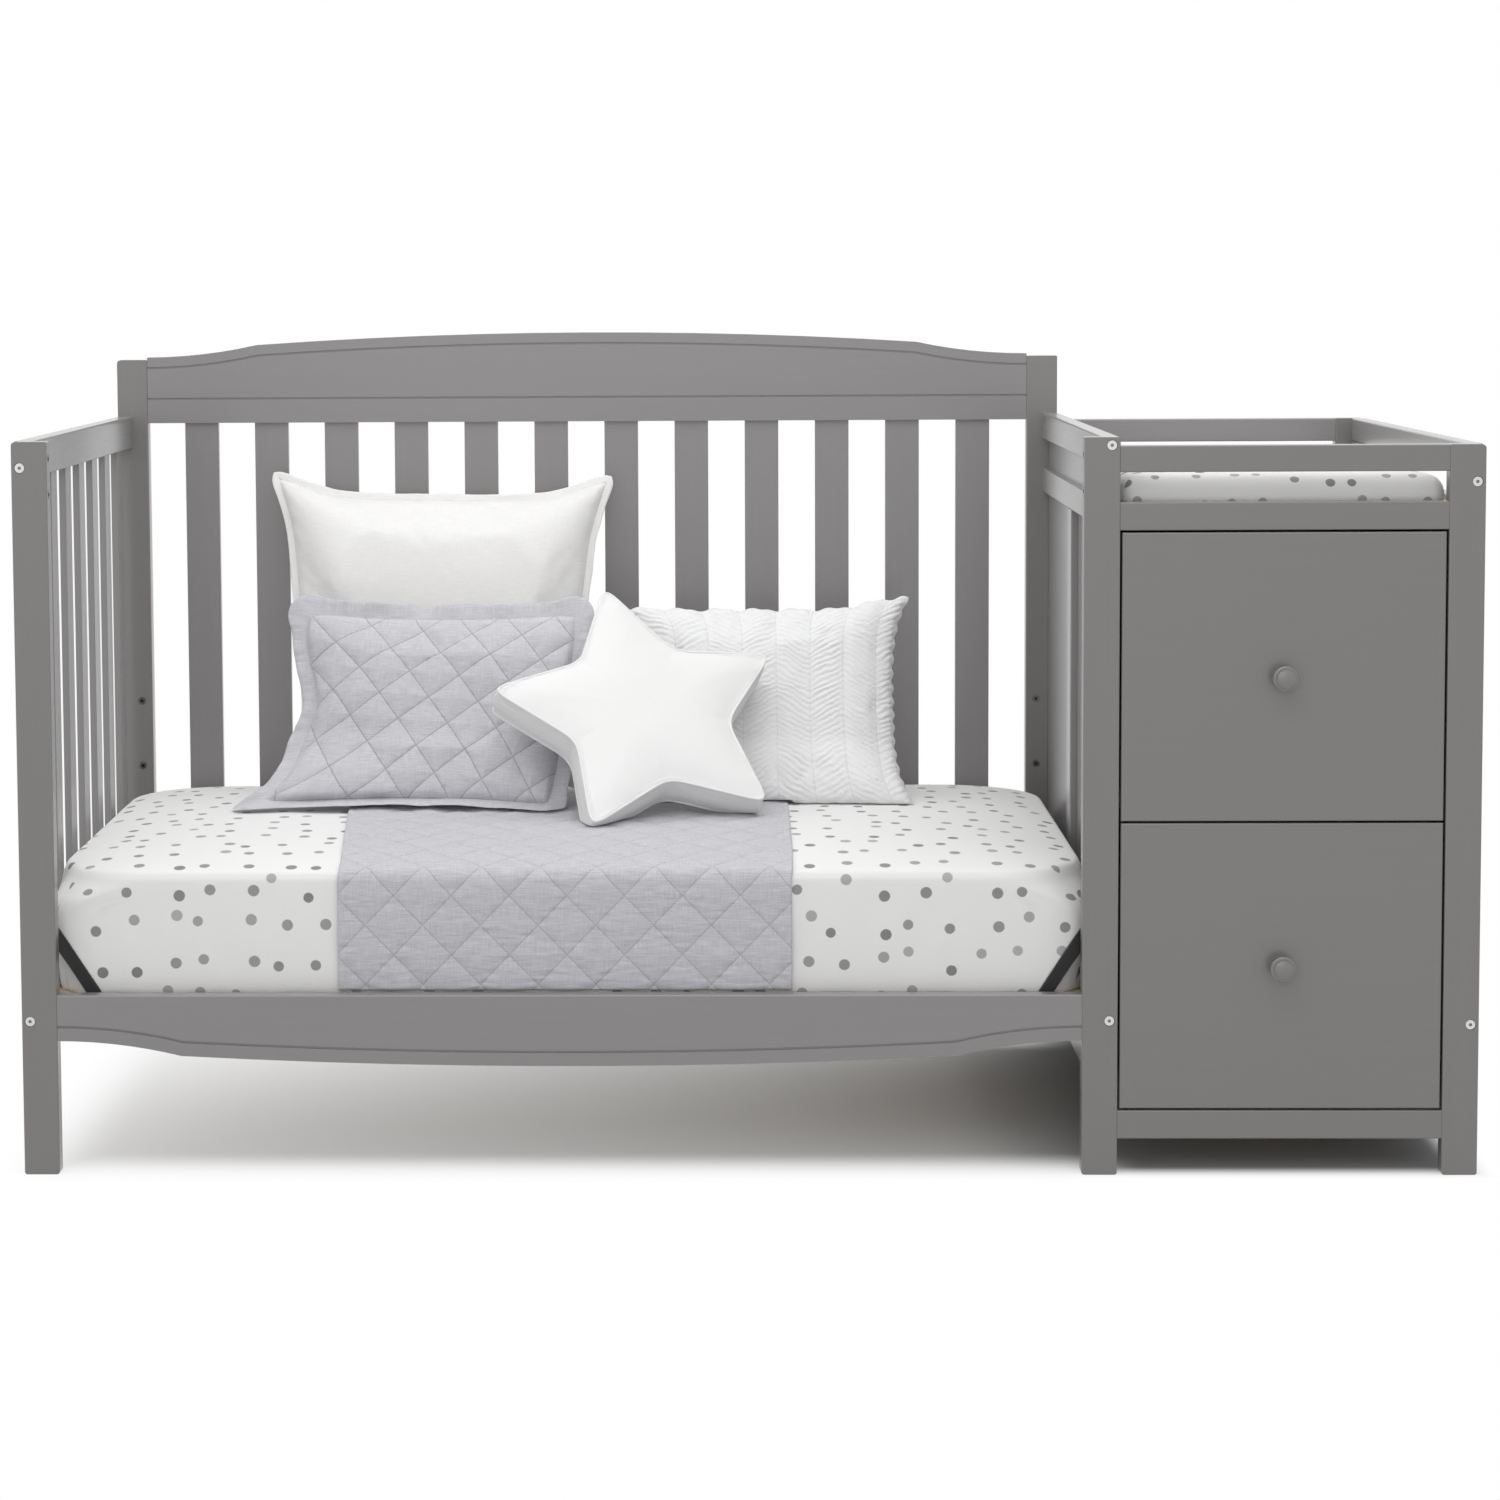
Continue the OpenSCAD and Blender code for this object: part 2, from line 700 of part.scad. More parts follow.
module drawer_front(i) {
    color(paint) at_home() difference() {
        translate([chest_x + reveal, face_back, drawer_z[i]]) intersection() {
            board_x(front_w, front_t, drawer_h);
            board_z(drawer_h, front_w, front_t);
        }
        drawer_bottom_shape(i, seat_gap);
        translate([chest_x + chest_w / 2, face_back - cut, drawer_z[i] + drawer_h / 2]) rotate([-90, 0, 0])
            cylinder(front_t + 2 * cut, r = knob_screw_d / 2 + 0.25);
    }
}

module drawer_sides(i) {
    color(board) at_home() difference() {
        for (x = [box_x, box_x + box_w - side_t])
            translate([x, box_y, slide_base[i] + side_lift]) cube([side_t, box_len, box_h]);
        drawer_bottom_shape(i, seat_gap);
    }
}

module drawer_back(i) {
    back_low = bottom_lift + bottom_t + seat_gap;
    color(board) at_home()
        translate([box_x + side_t, box_y + box_len - side_t, slide_base[i] + side_lift + back_low])
            cube([box_w - 2 * side_t, side_t, box_h - back_low]);
}

module drawer_bottom(i) { color(board) at_home() drawer_bottom_shape(i, 0); }

// Turned knob: waisted stem, stepped rim and a low domed centre
module knob_outline() {
    rim_r = knob_d / 2;
    dome_r = rim_r * 0.72;
    neck_r = rim_r * 0.5;
    rim_low = knob_reach - 10;
    difference() {
        union() {
            square([neck_r + 2, rim_low + 2]);
            translate([0, rim_low]) square([rim_r - 2.5, 5]);
            translate([rim_r - 2.5, rim_low + 2.5]) circle(2.5);
            translate([0, rim_low + 5]) square([rim_r - 4.5, 1.6]);
            intersection() {
                translate([0, rim_low]) square([dome_r, 10]);
                translate([0, knob_reach - 26]) circle(26, $fn = 96);
            }
        }
        translate([neck_r + 4.6, rim_low / 2]) circle(rim_low / 2 - 1);
        translate([-cut, -cut]) square([cut, knob_reach + 2 * cut]);
        translate([0, -cut]) square([knob_screw_d / 2, rim_low - 2 + cut]);
    }
}

module drawer_knob(i) {
    color(paint) at_home() translate([chest_x + chest_w / 2, face_back, drawer_z[i] + drawer_h / 2]) {
        rotate([90, 0, 0]) rotate_extrude($fn = 72) knob_outline();
        rotate([-90, 0, 0]) {
            translate([0, 0, 2 * seat_gap - 10]) cylinder(front_t + 10, r = knob_screw_d / 2 - 0.1);
            translate([0, 0, front_t]) cylinder(2.2, r = knob_screw_d);
        }
    }
}

// ---------- roller slides ----------
// Each slide is drawn for the left side, with x = 0 on the chest's wall and x = slide_w on the
// drawer's side, and mirrored for the right side.

slide_y0 = box_y + 1.5;
slide_y1 = slide_y0 + box_len;
fixed_roller_y = slide_y0 + 11;
fixed_roller_z = sheet + roller_gap + fixed_roller_d / 2;
running_roller_y = slide_y1 - 12.5;
running_roller_z = sheet + roller_gap + running_roller_d / 2;
roller_x = sheet + 1.4;
flange_z = fixed_roller_z + fixed_roller_d / 2 + roller_gap;
pin_room = 0.05;
lip_w = 9;   // depth of the chest profile's two lips

module both_sides() {
    translate([chest_x, 0, 0]) children();
    translate([chest_x + chest_w, 0, 0]) mirror([1, 0, 0]) children();
}

module along_slide(y0, y1) {
    translate([0, y1, 0]) rotate([90, 0, 0]) linear_extrude(y1 - y0) children();
}

module roller(d) {
    rotate([0, 90, 0]) difference() {
        union() {
            cylinder(roller_w, r = d / 2 - 0.6);
            translate([0, 0, 0.6]) cylinder(roller_w - 1.2, r = d / 2);
        }
        translate([0, 0, -cut]) cylinder(roller_w + 2 * cut, r = roller_pin_d / 2 + pin_room);
    }
}

// Channel on the chest with a pin for its roller near the front end
module chest_slide() {
    along_slide(slide_y0, slide_y1) {
        square([sheet, slide_h]);
        square([lip_w, sheet]);
        translate([0, slide_h - sheet]) square([lip_w, sheet]);
    }
    translate([0, fixed_roller_y, fixed_roller_z]) rotate([0, 90, 0]) {
        cylinder(roller_x - 0.2, r = roller_pin_d / 2 + 1.5);
        cylinder(roller_x + roller_w + 1, r = roller_pin_d / 2);
        translate([0, 0, roller_x + roller_w + 0.2]) cylinder(0.8, r = roller_pin_d / 2 + 1.5);
    }
}

// Angle on the drawer: lip under its side, web beside it, flange that rides on the fixed roller
module drawer_slide() {
    flange_end = running_roller_y - running_roller_d / 2 - 2;
    along_slide(box_y, slide_y1) {
        translate([slide_w - sheet, side_lift - sheet]) square([sheet, slide_h]);
        translate([slide_w - sheet, side_lift - sheet]) square([side_t, sheet]);
    }
    along_slide(slide_y0, flange_end)
        translate([roller_x, flange_z]) square([slide_w - roller_x, sheet]);
    translate([slide_w, running_roller_y, running_roller_z]) rotate([0, -90, 0]) {
        cylinder(slide_w - roller_x - roller_w - 0.2, r = roller_pin_d / 2 + 1.5);
        cylinder(slide_w - roller_x + 0.6, r = roller_pin_d / 2);
        translate([0, 0, slide_w - roller_x + 0.2]) cylinder(0.5, r = roller_pin_d / 2 + 1.5);
    }
}

module chest_slides() {
    color(enamel) at_home() for (z = slide_base) translate([0, 0, z]) both_sides() chest_slide();
}

module drawer_slides(i) {
    color(enamel) at_home() translate([0, 0, slide_base[i]]) both_sides() drawer_slide();
}

module chest_rollers(i) {
    color(nylon) at_home() translate([0, 0, slide_base[i]]) both_sides()
        translate([roller_x, fixed_roller_y, fixed_roller_z]) roller(fixed_roller_d);
}

module drawer_rollers(i) {
    color(nylon) at_home() translate([0, 0, slide_base[i]]) both_sides()
        translate([roller_x, running_roller_y, running_roller_z]) roller(running_roller_d);
}

module upper_drawer_front() { drawer_front(1); }
module upper_drawer_sides() { drawer_sides(1); }
module upper_drawer_back() { drawer_back(1); }
module upper_drawer_bottom() { drawer_bottom(1); }
module upper_drawer_knob() { drawer_knob(1); }
module upper_drawer_slides() { drawer_slides(1); }
module upper_drawer_rollers() { drawer_rollers(1); }
module upper_chest_rollers() { chest_rollers(1); }
module lower_drawer_front() { drawer_front(0); }
module lower_drawer_sides() { drawer_sides(0); }
module lower_drawer_back() { drawer_back(0); }
module lower_drawer_bottom() { drawer_bottom(0); }
module lower_drawer_knob() { drawer_knob(0); }
module lower_drawer_slides() { drawer_slides(0); }
module lower_drawer_rollers() { drawer_rollers(0); }
module lower_chest_rollers() { chest_rollers(0); }

// ---------- mattress support ----------

bracket_gap = 5;          // from the brackets' faces to the frame, for the bolt heads
frame_room = 3;           // from the end panels to the frame
bracket_w = 22;
bracket_x = rail_t + 0.5;   // bracket's side nearest the end panel
bracket_ledge = 38;
frame_x = [rail_t + frame_room, middle_rail_x - frame_room];
frame_y = [post_t + angle_t + bracket_gap, back_y - angle_t - bracket_gap];
frame_top = support_z - support_slat_t;
ledge_z = frame_top - angle_leg;

// Section of the angle iron: flat leg on top, upright leg at its outer edge
module angle_section() {
    square([angle_t, angle_leg]);
    translate([0, angle_leg - angle_t]) square([angle_leg, angle_t]);
}

module support_frame() {
    color(steel) at_home() translate([0, 0, ledge_z]) {
        for (side = [0, 1])
            translate([0, side == 0 ? frame_y[0] : frame_y[1], 0]) mirror([0, side, 0])
                translate([frame_x[0], 0, 0]) rotate([90, 0, 90]) linear_extrude(frame_x[1] - frame_x[0])
                    angle_section();
        for (side = [0, 1])
            translate([side == 0 ? frame_x[0] : frame_x[1], 0, 0]) mirror([side, 0, 0])
                translate([0, frame_y[1] - angle_leg, 0]) rotate([90, 0, 0])
                    linear_extrude(frame_y[1] - frame_y[0] - 2 * angle_leg) angle_section();
    }
}

support_slat_step = (frame_x[1] - frame_x[0] - support_slat_w) / (support_slats - 1);

module support_slats() {
    color(board) at_home() for (i = [0 : support_slats - 1])
        translate([frame_x[0] + i * support_slat_step, frame_y[0], frame_top])
            board_y(frame_y[1] - frame_y[0], support_slat_w, support_slat_t);
}

// Places its children at the four posts, with x from the left post's outer side and y from the
// post's face
module at_brackets() {
    for (side = [0, 1], end = [0, 1])
        translate([end * chest_x, side * total_d, 0]) mirror([end, 0, 0]) mirror([0, side, 0])
            translate([0, post_t, 0]) children();
}

module bracket() {
    rise = support_z + 8 - ledge_z;
    difference() {
        translate([bracket_x, 0, -angle_t]) {
            cube([bracket_w, angle_t, rise]);
            cube([bracket_w, bracket_ledge, angle_t]);
        }
        translate([post_w - support_insert_x, -cut, low_insert_z - ledge_z]) rotate([-90, 0, 0])
            cylinder(angle_t + 2 * cut, r = bolt_d / 2 + bolt_room);
    }
}

module support_brackets() { color(steel) at_home() at_brackets() translate([0, 0, ledge_z]) bracket(); }

bracket_bolt_l = 12;

module bolts() {
    color(steel) at_home() {
        for (c = connectors) at_connectors([c]) connector_bolt(c[2]);
        at_brackets() translate([post_w - support_insert_x, angle_t, low_insert_z]) rotate([90, 0, 0]) {
            cylinder(angle_t + bracket_bolt_l, r = bolt_d / 2 - 0.5);
            translate([0, 0, -3]) difference() {
                cylinder(3, r = 5);
                translate([0, 0, -cut]) cylinder(2 + cut, r = 2.3, $fn = 6);
            }
        }
    }
}

module barrel_nuts() {
    color(steel) at_home() for (c = connectors) at_connectors([c])
        translate([0, 0, post_t + c[2]]) rotate([0, 90, 0]) difference() {
            translate([0, 0, -nut_l / 2]) cylinder(nut_l, r = nut_d / 2);
            rotate([0, 90, 0]) translate([0, 0, -nut_d]) cylinder(2 * nut_d, r = bolt_d / 2 + 0.05);
        }
}

module threaded_inserts() {
    color(steel) at_home() at_inserts() difference() {
        cylinder(insert_l, r = insert_d / 2);
        translate([0, 0, -cut]) cylinder(insert_l + 2 * cut, r = bolt_d / 2 - 0.3);
    }
}

// ---------- soft forms ----------

// Closed skin over a list of rings that all have the same number of points
module skin(rings) {
    m = len(rings[0]);
    n = len(rings);
    polyhedron(
        points = [for (ring = rings) for (p = ring) p],
        faces = concat(
            [[for (i = [0 : m - 1]) i]],
            [for (k = [0 : n - 2], i = [0 : m - 1]) [k * m + i, (k + 1) * m + i, k * m + (i + 1) % m]],
            [for (k = [0 : n - 2], i = [0 : m - 1])
                [k * m + (i + 1) % m, (k + 1) * m + i, (k + 1) * m + (i + 1) % m]],
            [[for (i = [m - 1 : -1 : 0]) (n - 1) * m + i]]));
}

corner_steps = 6;

// Points round a rectangle with round corners, centred, at height z
function soft_rect(w, d, r, z) = [for (q = [0 : 3], s = [0 : corner_steps])
    let (a = q * 90 + s * 90 / corner_steps,
        sx = (q == 0 || q == 3) ? 1 : -1, sy = q < 2 ? 1 : -1)
    [sx * (w / 2 - r) + r * cos(a), sy * (d / 2 - r) + r * sin(a), z]];

// Block of soft filling: profile is a list of [inset, z]
module soft_block(w, d, r, profile) {
    skin([for (p = profile) soft_rect(w - 2 * p[0], d - 2 * p[0], max(r - p[0], r / 4), p[1])]);
}

mattress_x = (rail_t + middle_rail_x) / 2;
mattress_y = post_t + crib_width / 2;
mattress_low = support_z + tiny;
mattress_corner = 25;
crown_run = mattress_w / 2 - 30;

// Height of the mattress's top at a distance in from its long side
function crown_z(inset) = mattress_edge_z + mattress_crown * (1 - pow(1 - min(inset / crown_run, 1), 2));

// Height of the mattress's top at a place on it
function bed_z(x, y) =
    crown_z(min(mattress_l / 2 - abs(x - mattress_x), mattress_w / 2 - abs(y - mattress_y)));

module mattress() {
    color(white_cloth) at_home() translate([mattress_x, mattress_y, 0])
        soft_block(mattress_l, mattress_w, mattress_corner, concat(
            [[70, mattress_low], [14, mattress_low + 0.6], [4, mattress_low + 4], [1, mattress_low + 16],
                [0, mattress_low + 60], [0, mattress_edge_z - 40], [2, mattress_edge_z - 16],
                [7, mattress_edge_z - 6], [16, crown_z(16)]],
            [for (share = [0.16, 0.32, 0.54, 0.79, 1]) [share * crown_run, crown_z(share * crown_run)]]));
}

strap_t = 2;
strap_rise = 31;      // height of a strap's band where it crosses a side
strap_slope = 1.55;   // fall of a strap over its run along a side
strap_corner_z = 312; // height at which a strap's middle would meet a square corner

module sheet_straps() {
    near = tiny + 0.1;
    far = near + strap_t;
    lean_angle = atan(strap_slope * sqrt(2));
    band = strap_rise * cos(lean_angle);
    color(black_cloth) at_home() translate([mattress_x, mattress_y, 0])
        for (mx = [0, 1], my = [0, 1]) mirror([mx, 0, 0]) mirror([0, my, 0]) intersection() {
            translate([-mattress_l / 2, -mattress_w / 2, 0]) difference() {
                translate([-far, -far, mattress_low + 2]) linear_extrude(mattress_edge_z - mattress_low)
                    eased_rect(mattress_l / 2, mattress_w / 2, mattress_corner + far);
                translate([-near, -near, 0]) linear_extrude(mattress_edge_z)
                    eased_rect(mattress_l, mattress_w, mattress_corner + near);
            }
            translate([-mattress_l / 2, -mattress_w / 2, strap_corner_z])
                rotate([0, 0, 45]) rotate([0, lean_angle, 0])
                    translate([-strap_corner_z / 2, -mattress_w / 4, -band / 2])
                    cube([strap_corner_z, mattress_w / 2, band]);
        }
}

pad_w = right_rail_x - chest_x - pad_left_gap - pad_right_gap;
pad_x = chest_x + pad_left_gap + pad_w / 2;

module changing_pad() {
    z = deck_z + tiny;
    color(white_cloth) at_home() translate([pad_x, mattress_y, 0])
        soft_block(pad_w, crib_width - 8, 28, [[24, z], [6, z + 2], [1, z + 10], [0, z + 22], [1, z + 34],
            [6, z + pad_h - 9], [15, z + pad_h - 3], [40, z + pad_h], [110, z + pad_h + 1]]);
}

// The throw lies on the mattress from throw_back_y, turns over its front edge and hangs down to
// just above the front rail.
throw_x = 399;
throw_back_y = 540;
throw_low = front_top_z + 3;
throw_clear = 0.6;
mattress_front = mattress_y - mattress_w / 2;
bend = 15;   // radius of the turn over the mattress's edge

function throw_path(off) = concat(
    [for (y = [throw_back_y : -60 : mattress_front + 40]) [y, bed_z(mattress_x, y) + off]],
    [for (a = [90 : 15 : 180])
        [mattress_front + bend - 1 + (bend + off) * cos(a),
            mattress_edge_z - bend + 1.5 + (bend + off) * sin(a)]],
    [[mattress_front - 1 - off, throw_low]]);

module quilted_throw() {
    under = throw_path(throw_clear);
    over = throw_path(throw_clear + throw_t);
    last = len(over) - 1;
    color(grey_cloth) at_home() translate([throw_x, 0, 0]) rotate([90, 0, 90]) linear_extrude(throw_w)
        polygon(concat(under, [for (i = [last : -1 : 0]) over[i]]));
}

// ---------- pillows ----------

throw_rise = throw_clear + throw_t;

// Stands a flat-lying form up: its x stays, its y climbs and leans back, its face looks forward
module lean(x, y, z, tilt, turn = 0) {
    translate([x, y, z]) rotate([0, 0, turn]) rotate([90 - tilt, 0, 0]) children();
}

no_relief = function(i, j) 0;
seam_t = 3;
plain_pull = 34;     // how far the pillows' sides draw in at mid length
cover_pull = 14;
plain_flange = 12;   // flat borders outside the filling
quilted_flange = 20;
stitch_depth = 4;    // depth of the sewn lines in the filling

// Pillow of two crowned faces sewn together, with sides drawn in between its corners. Its lower
// edge is at y = 0. relief gives the sewn pattern's depth at each grid point.
module pillow(w, h, t, pull, border, nu, nv, relief = no_relief) {
    function along(i, n) = 2 * i / n - 1;
    function crown(u, v) =
        let (bu = max(0, 1 - pow(min(abs(u) / (1 - 2 * border / w), 1), 2.6)),
            bv = max(0, 1 - pow(min(abs(v) / (1 - 2 * border / h), 1), 2.6)))
        t / 2 * pow(bu * bv, 0.5);
    function place(i, j, side) =
        let (u = along(i, nu), v = along(j, nv), c = crown(u, v), inside = c > 0 ? 1 : 0)
        [u * (w / 2 - pull * (1 - v * v)), h / 2 + v * (h / 2 - pull * (1 - u * u)),
            side * (seam_t / 2 + max(0, c - inside * relief(i, j)))];
    row = nu + 1;
    sheet_n = row * (nv + 1);
    edge = concat([for (i = [0 : nu - 1]) i], [for (j = [0 : nv - 1]) j * row + nu],
        [for (i = [nu : -1 : 1]) nv * row + i], [for (j = [nv : -1 : 1]) j * row]);
    e = len(edge);
    polyhedron(
        points = concat([for (j = [0 : nv], i = [0 : nu]) place(i, j, 1)],
            [for (j = [0 : nv], i = [0 : nu]) place(i, j, -1)]),
        faces = concat(
            [for (j = [0 : nv - 1], i = [0 : nu - 1]) let (p = j * row + i, even = (i + j) % 2 == 0)
                even ? [p, p + row + 1, p + 1] : [p, p + row, p + 1]],
            [for (j = [0 : nv - 1], i = [0 : nu - 1]) let (p = j * row + i, even = (i + j) % 2 == 0)
                even ? [p, p + row, p + row + 1] : [p + 1, p + row, p + row + 1]],
            [for (j = [0 : nv - 1], i = [0 : nu - 1]) let (p = sheet_n + j * row + i)
                [p, p + 1, p + row + 1]],
            [for (j = [0 : nv - 1], i = [0 : nu - 1]) let (p = sheet_n + j * row + i)
                [p, p + row + 1, p + row]],
            [for (k = [0 : e - 1]) [edge[k], edge[(k + 1) % e], sheet_n + edge[k]]],
            [for (k = [0 : e - 1]) [edge[(k + 1) % e], sheet_n + edge[(k + 1) % e], sheet_n + edge[k]]]));
}

module plain_pillow() {
    color(white_cloth) at_home() lean(plain_x, plain_y, bed_z(plain_x, plain_y) + 1, 15)
        pillow(plain_w, plain_h, plain_t, plain_pull, plain_flange, 12, 12);
}

// Diamonds: the sewn lines cross where i + j is even and the filling stands up between them
module quilted_pillow() {
    z = bed_z(quilted_x, quilted_y) + throw_rise + 1;
    color(grey_cloth) at_home() lean(quilted_x, quilted_y, z, 20, -3)
        pillow(quilted_w, quilted_h, quilted_t, cover_pull, quilted_flange, 14, 12,
            function(i, j) (i + j) % 2 == 0 ? stitch_depth : 0);
}

// Ruched columns: every second line of the grid is a drawn-in seam
module ruched_pillow() {
    z = bed_z(ruched_x, ruched_y) + throw_rise + 1;
    color(white_cloth) at_home() lean(ruched_x, ruched_y, z, 25)
        pillow(ruched_w, ruched_h, ruched_t, cover_pull, 0, 16, 10,
            function(i, j) i % 2 == 0 ? stitch_depth : 0);
}

star_tip_round = 14;
star_crown = 10;   // bulge of the star's two faces at its middle
star_roll = 4;
star_tilt = 43;

// Star with blunt tips: three points at each tip, one in each inner corner
function star_ring(scale, z) = [for (k = [0 : 4]) let (a = 90 + star_roll + k * 72)
    for (p = [[a - 36, star_inner_r], [a - 4, star_r - star_tip_round / 2], [a, star_r],
        [a + 4, star_r - star_tip_round / 2]])
    [scale * p[1] * cos(p[0]), scale * p[1] * sin(p[0]), z]];

// The star leans far back, and its two lowest points are pressed flat on the throw
module star_pillow() {
    rest_z = bed_z(star_x, star_y) + throw_rise + tiny;
    crown = [[0.3, star_crown], [0.6, 0.8 * star_crown], [0.85, 0.4 * star_crown], [1, 0]];
    color(white_cloth) at_home() intersection() {
        lean(star_x, star_y, rest_z + star_rise, star_tilt, 16) translate([0, 0, -star_t])
            skin(concat([for (c = crown) star_ring(c[0], -c[1])], [star_ring(1.01, star_t / 2)],
                [for (i = [3 : -1 : 0]) star_ring(crown[i][0], star_t + crown[i][1])]));
        translate([star_x - 2 * star_r, star_y - 2 * star_r, rest_z]) cube(4 * star_r);
    }
}

post_front_left();
post_front_middle();
post_front_right();
post_back_left();
post_back_middle();
post_back_right();
crest_rail();
headboard_slats();
headboard_bottom_rail();
front_rail();
left_top_rail();
left_slats();
left_bottom_rail();
middle_top_rail();
middle_deck_rail();
middle_bottom_rail();
middle_stile();
middle_panels();
support_frame();
support_slats();
support_brackets();
mattress();
sheet_straps();
quilted_throw();
plain_pillow();
quilted_pillow();
ruched_pillow();
star_pillow();
chest_front_top_rail();
chest_front_deck_rail();
chest_front_bottom_rail();
chest_back_rails();
chest_back_panel();
right_top_rail();
right_lower_rails();
right_stiles();
right_panels();
chest_battens();
changing_deck();
changing_pad();
upper_drawer_front();
upper_drawer_sides();
upper_drawer_back();
upper_drawer_bottom();
upper_drawer_knob();
upper_drawer_slides();
upper_drawer_rollers();
upper_chest_rollers();
lower_drawer_front();
lower_drawer_sides();
lower_drawer_back();
lower_drawer_bottom();
lower_drawer_knob();
lower_drawer_slides();
lower_drawer_rollers();
lower_chest_rollers();
chest_slides();
bolts();
barrel_nuts();
threaded_inserts();
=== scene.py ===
"""Looks of a full-size crib in its daybed setting, with a changing chest on its right end.

Metres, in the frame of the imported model: X to the right, Y to the back and Z up from the floor.
"""

import json
import math
import re

import bpy
import numpy as np
from mathutils import Matrix, Vector


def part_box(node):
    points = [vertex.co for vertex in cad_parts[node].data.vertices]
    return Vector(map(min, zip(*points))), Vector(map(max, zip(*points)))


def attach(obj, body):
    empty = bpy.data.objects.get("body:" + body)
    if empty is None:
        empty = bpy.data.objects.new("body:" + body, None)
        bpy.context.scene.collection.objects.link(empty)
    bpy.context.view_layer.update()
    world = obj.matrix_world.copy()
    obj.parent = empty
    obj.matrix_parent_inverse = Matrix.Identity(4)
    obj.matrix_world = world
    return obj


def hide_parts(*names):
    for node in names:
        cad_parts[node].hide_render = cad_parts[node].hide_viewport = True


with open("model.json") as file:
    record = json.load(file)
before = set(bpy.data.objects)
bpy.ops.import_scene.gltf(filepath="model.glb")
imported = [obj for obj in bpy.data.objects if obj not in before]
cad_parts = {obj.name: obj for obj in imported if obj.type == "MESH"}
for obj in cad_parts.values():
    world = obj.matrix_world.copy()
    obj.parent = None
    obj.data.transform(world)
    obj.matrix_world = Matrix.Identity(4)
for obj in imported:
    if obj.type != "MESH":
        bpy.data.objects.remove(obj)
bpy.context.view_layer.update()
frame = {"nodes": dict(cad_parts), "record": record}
ROOT = "crib_and_chest"

# ---------- camera ----------

IMAGE_PX = 1500
SENSOR_MM = 36
FOCAL_PX = 3244.2
CENTRE_PX = (640.0, 517.3)
CAMERA_AT = Vector((-0.0446, -4.3624, 1.1230))
YAW, PITCH, ROLL = -0.0214, -0.0739, -0.0055


def add_camera():
    ahead = Vector((math.sin(YAW), math.cos(YAW), 0))
    across = Vector((math.cos(YAW), -math.sin(YAW), 0))
    up = Vector((0, 0, 1))
    sight = ahead * math.cos(PITCH) + up * math.sin(PITCH)
    over = up * math.cos(PITCH) - ahead * math.sin(PITCH)
    right = across * math.cos(ROLL) + over * math.sin(ROLL)
    top = over * math.cos(ROLL) - across * math.sin(ROLL)
    data = bpy.data.cameras.new("camera")
    data.sensor_width = SENSOR_MM
    data.lens = SENSOR_MM * FOCAL_PX / IMAGE_PX
    data.shift_x = 0.5 - CENTRE_PX[0] / IMAGE_PX
    data.shift_y = CENTRE_PX[1] / IMAGE_PX - 0.5
    data.clip_end = 100
    camera = bpy.data.objects.new("camera", data)
    axes = Matrix((right, top, -sight)).transposed().to_4x4()
    camera.matrix_world = Matrix.Translation(CAMERA_AT) @ axes
    bpy.context.scene.collection.objects.link(camera)
    bpy.context.scene.camera = camera


# ---------- finishes ----------


class Value:
    """A number that varies over a surface. Arithmetic on it adds Math nodes."""

    def __init__(self, finish, socket):
        self.finish, self.socket = finish, socket

    def math(self, operation, *terms):
        node = self.finish.node("Math", {"operation": operation}, dict(enumerate(terms)))
        return Value(self.finish, node.outputs[0])

    def __add__(self, other):
        return self.math("ADD", self, other)

    def __sub__(self, other):
        return self.math("SUBTRACT", self, other)

    def __rsub__(self, other):
        return self.math("SUBTRACT", other, self)

    def __mul__(self, other):
        return self.math("MULTIPLY", self, other)

    __radd__, __rmul__ = __add__, __mul__

    def sine(self):
        return self.math("SINE", self)

    def size(self):
        return self.math("ABSOLUTE", self)

    def most(self, other):
        return self.math("MAXIMUM", self, other)

    def off_whole(self):
        """How far it is from the nearest whole number."""
        return (self.math("FRACT", self + 0.5) - 0.5).size()

    def rise(self, low, high):
        """0 below low, 1 above high, and smooth between."""
        settings = {"interpolation_type": "SMOOTHSTEP"}
        limits = {"Value": self, "From Min": low, "From Max": high}
        return Value(self.finish, self.finish.node("MapRange", settings, limits).outputs[0])


class Tree:
    """The shader nodes of a material or of the world."""

    def __init__(self, owner):
        owner.use_nodes = True
        self.nodes, self.links = owner.node_tree.nodes, owner.node_tree.links
        self.nodes.clear()

    def node(self, kind, settings, inputs):
        """Adds a node: its settings first, then the values or links of its sockets."""
        node = self.nodes.new("ShaderNode" + kind)
        for name, setting in settings.items():
            setattr(node, name, setting)
        for key, value in inputs.items():
            value = value.socket if isinstance(value, Value) else value
            if isinstance(value, bpy.types.NodeSocket):
                self.links.new(value, node.inputs[key])
            else:
                node.inputs[key].default_value = value
        return node

    def straight_rays(self):
        """1 for rays of the camera, and for those that a mirror or clear piece sends on, or 0."""
        rays = self.node("LightPath", {}, {}).outputs
        seen = Value(self, rays["Is Camera Ray"])
        for ray in ("Is Glossy Ray", "Is Transmission Ray"):
            seen = seen.most(rays[ray])
        return seen


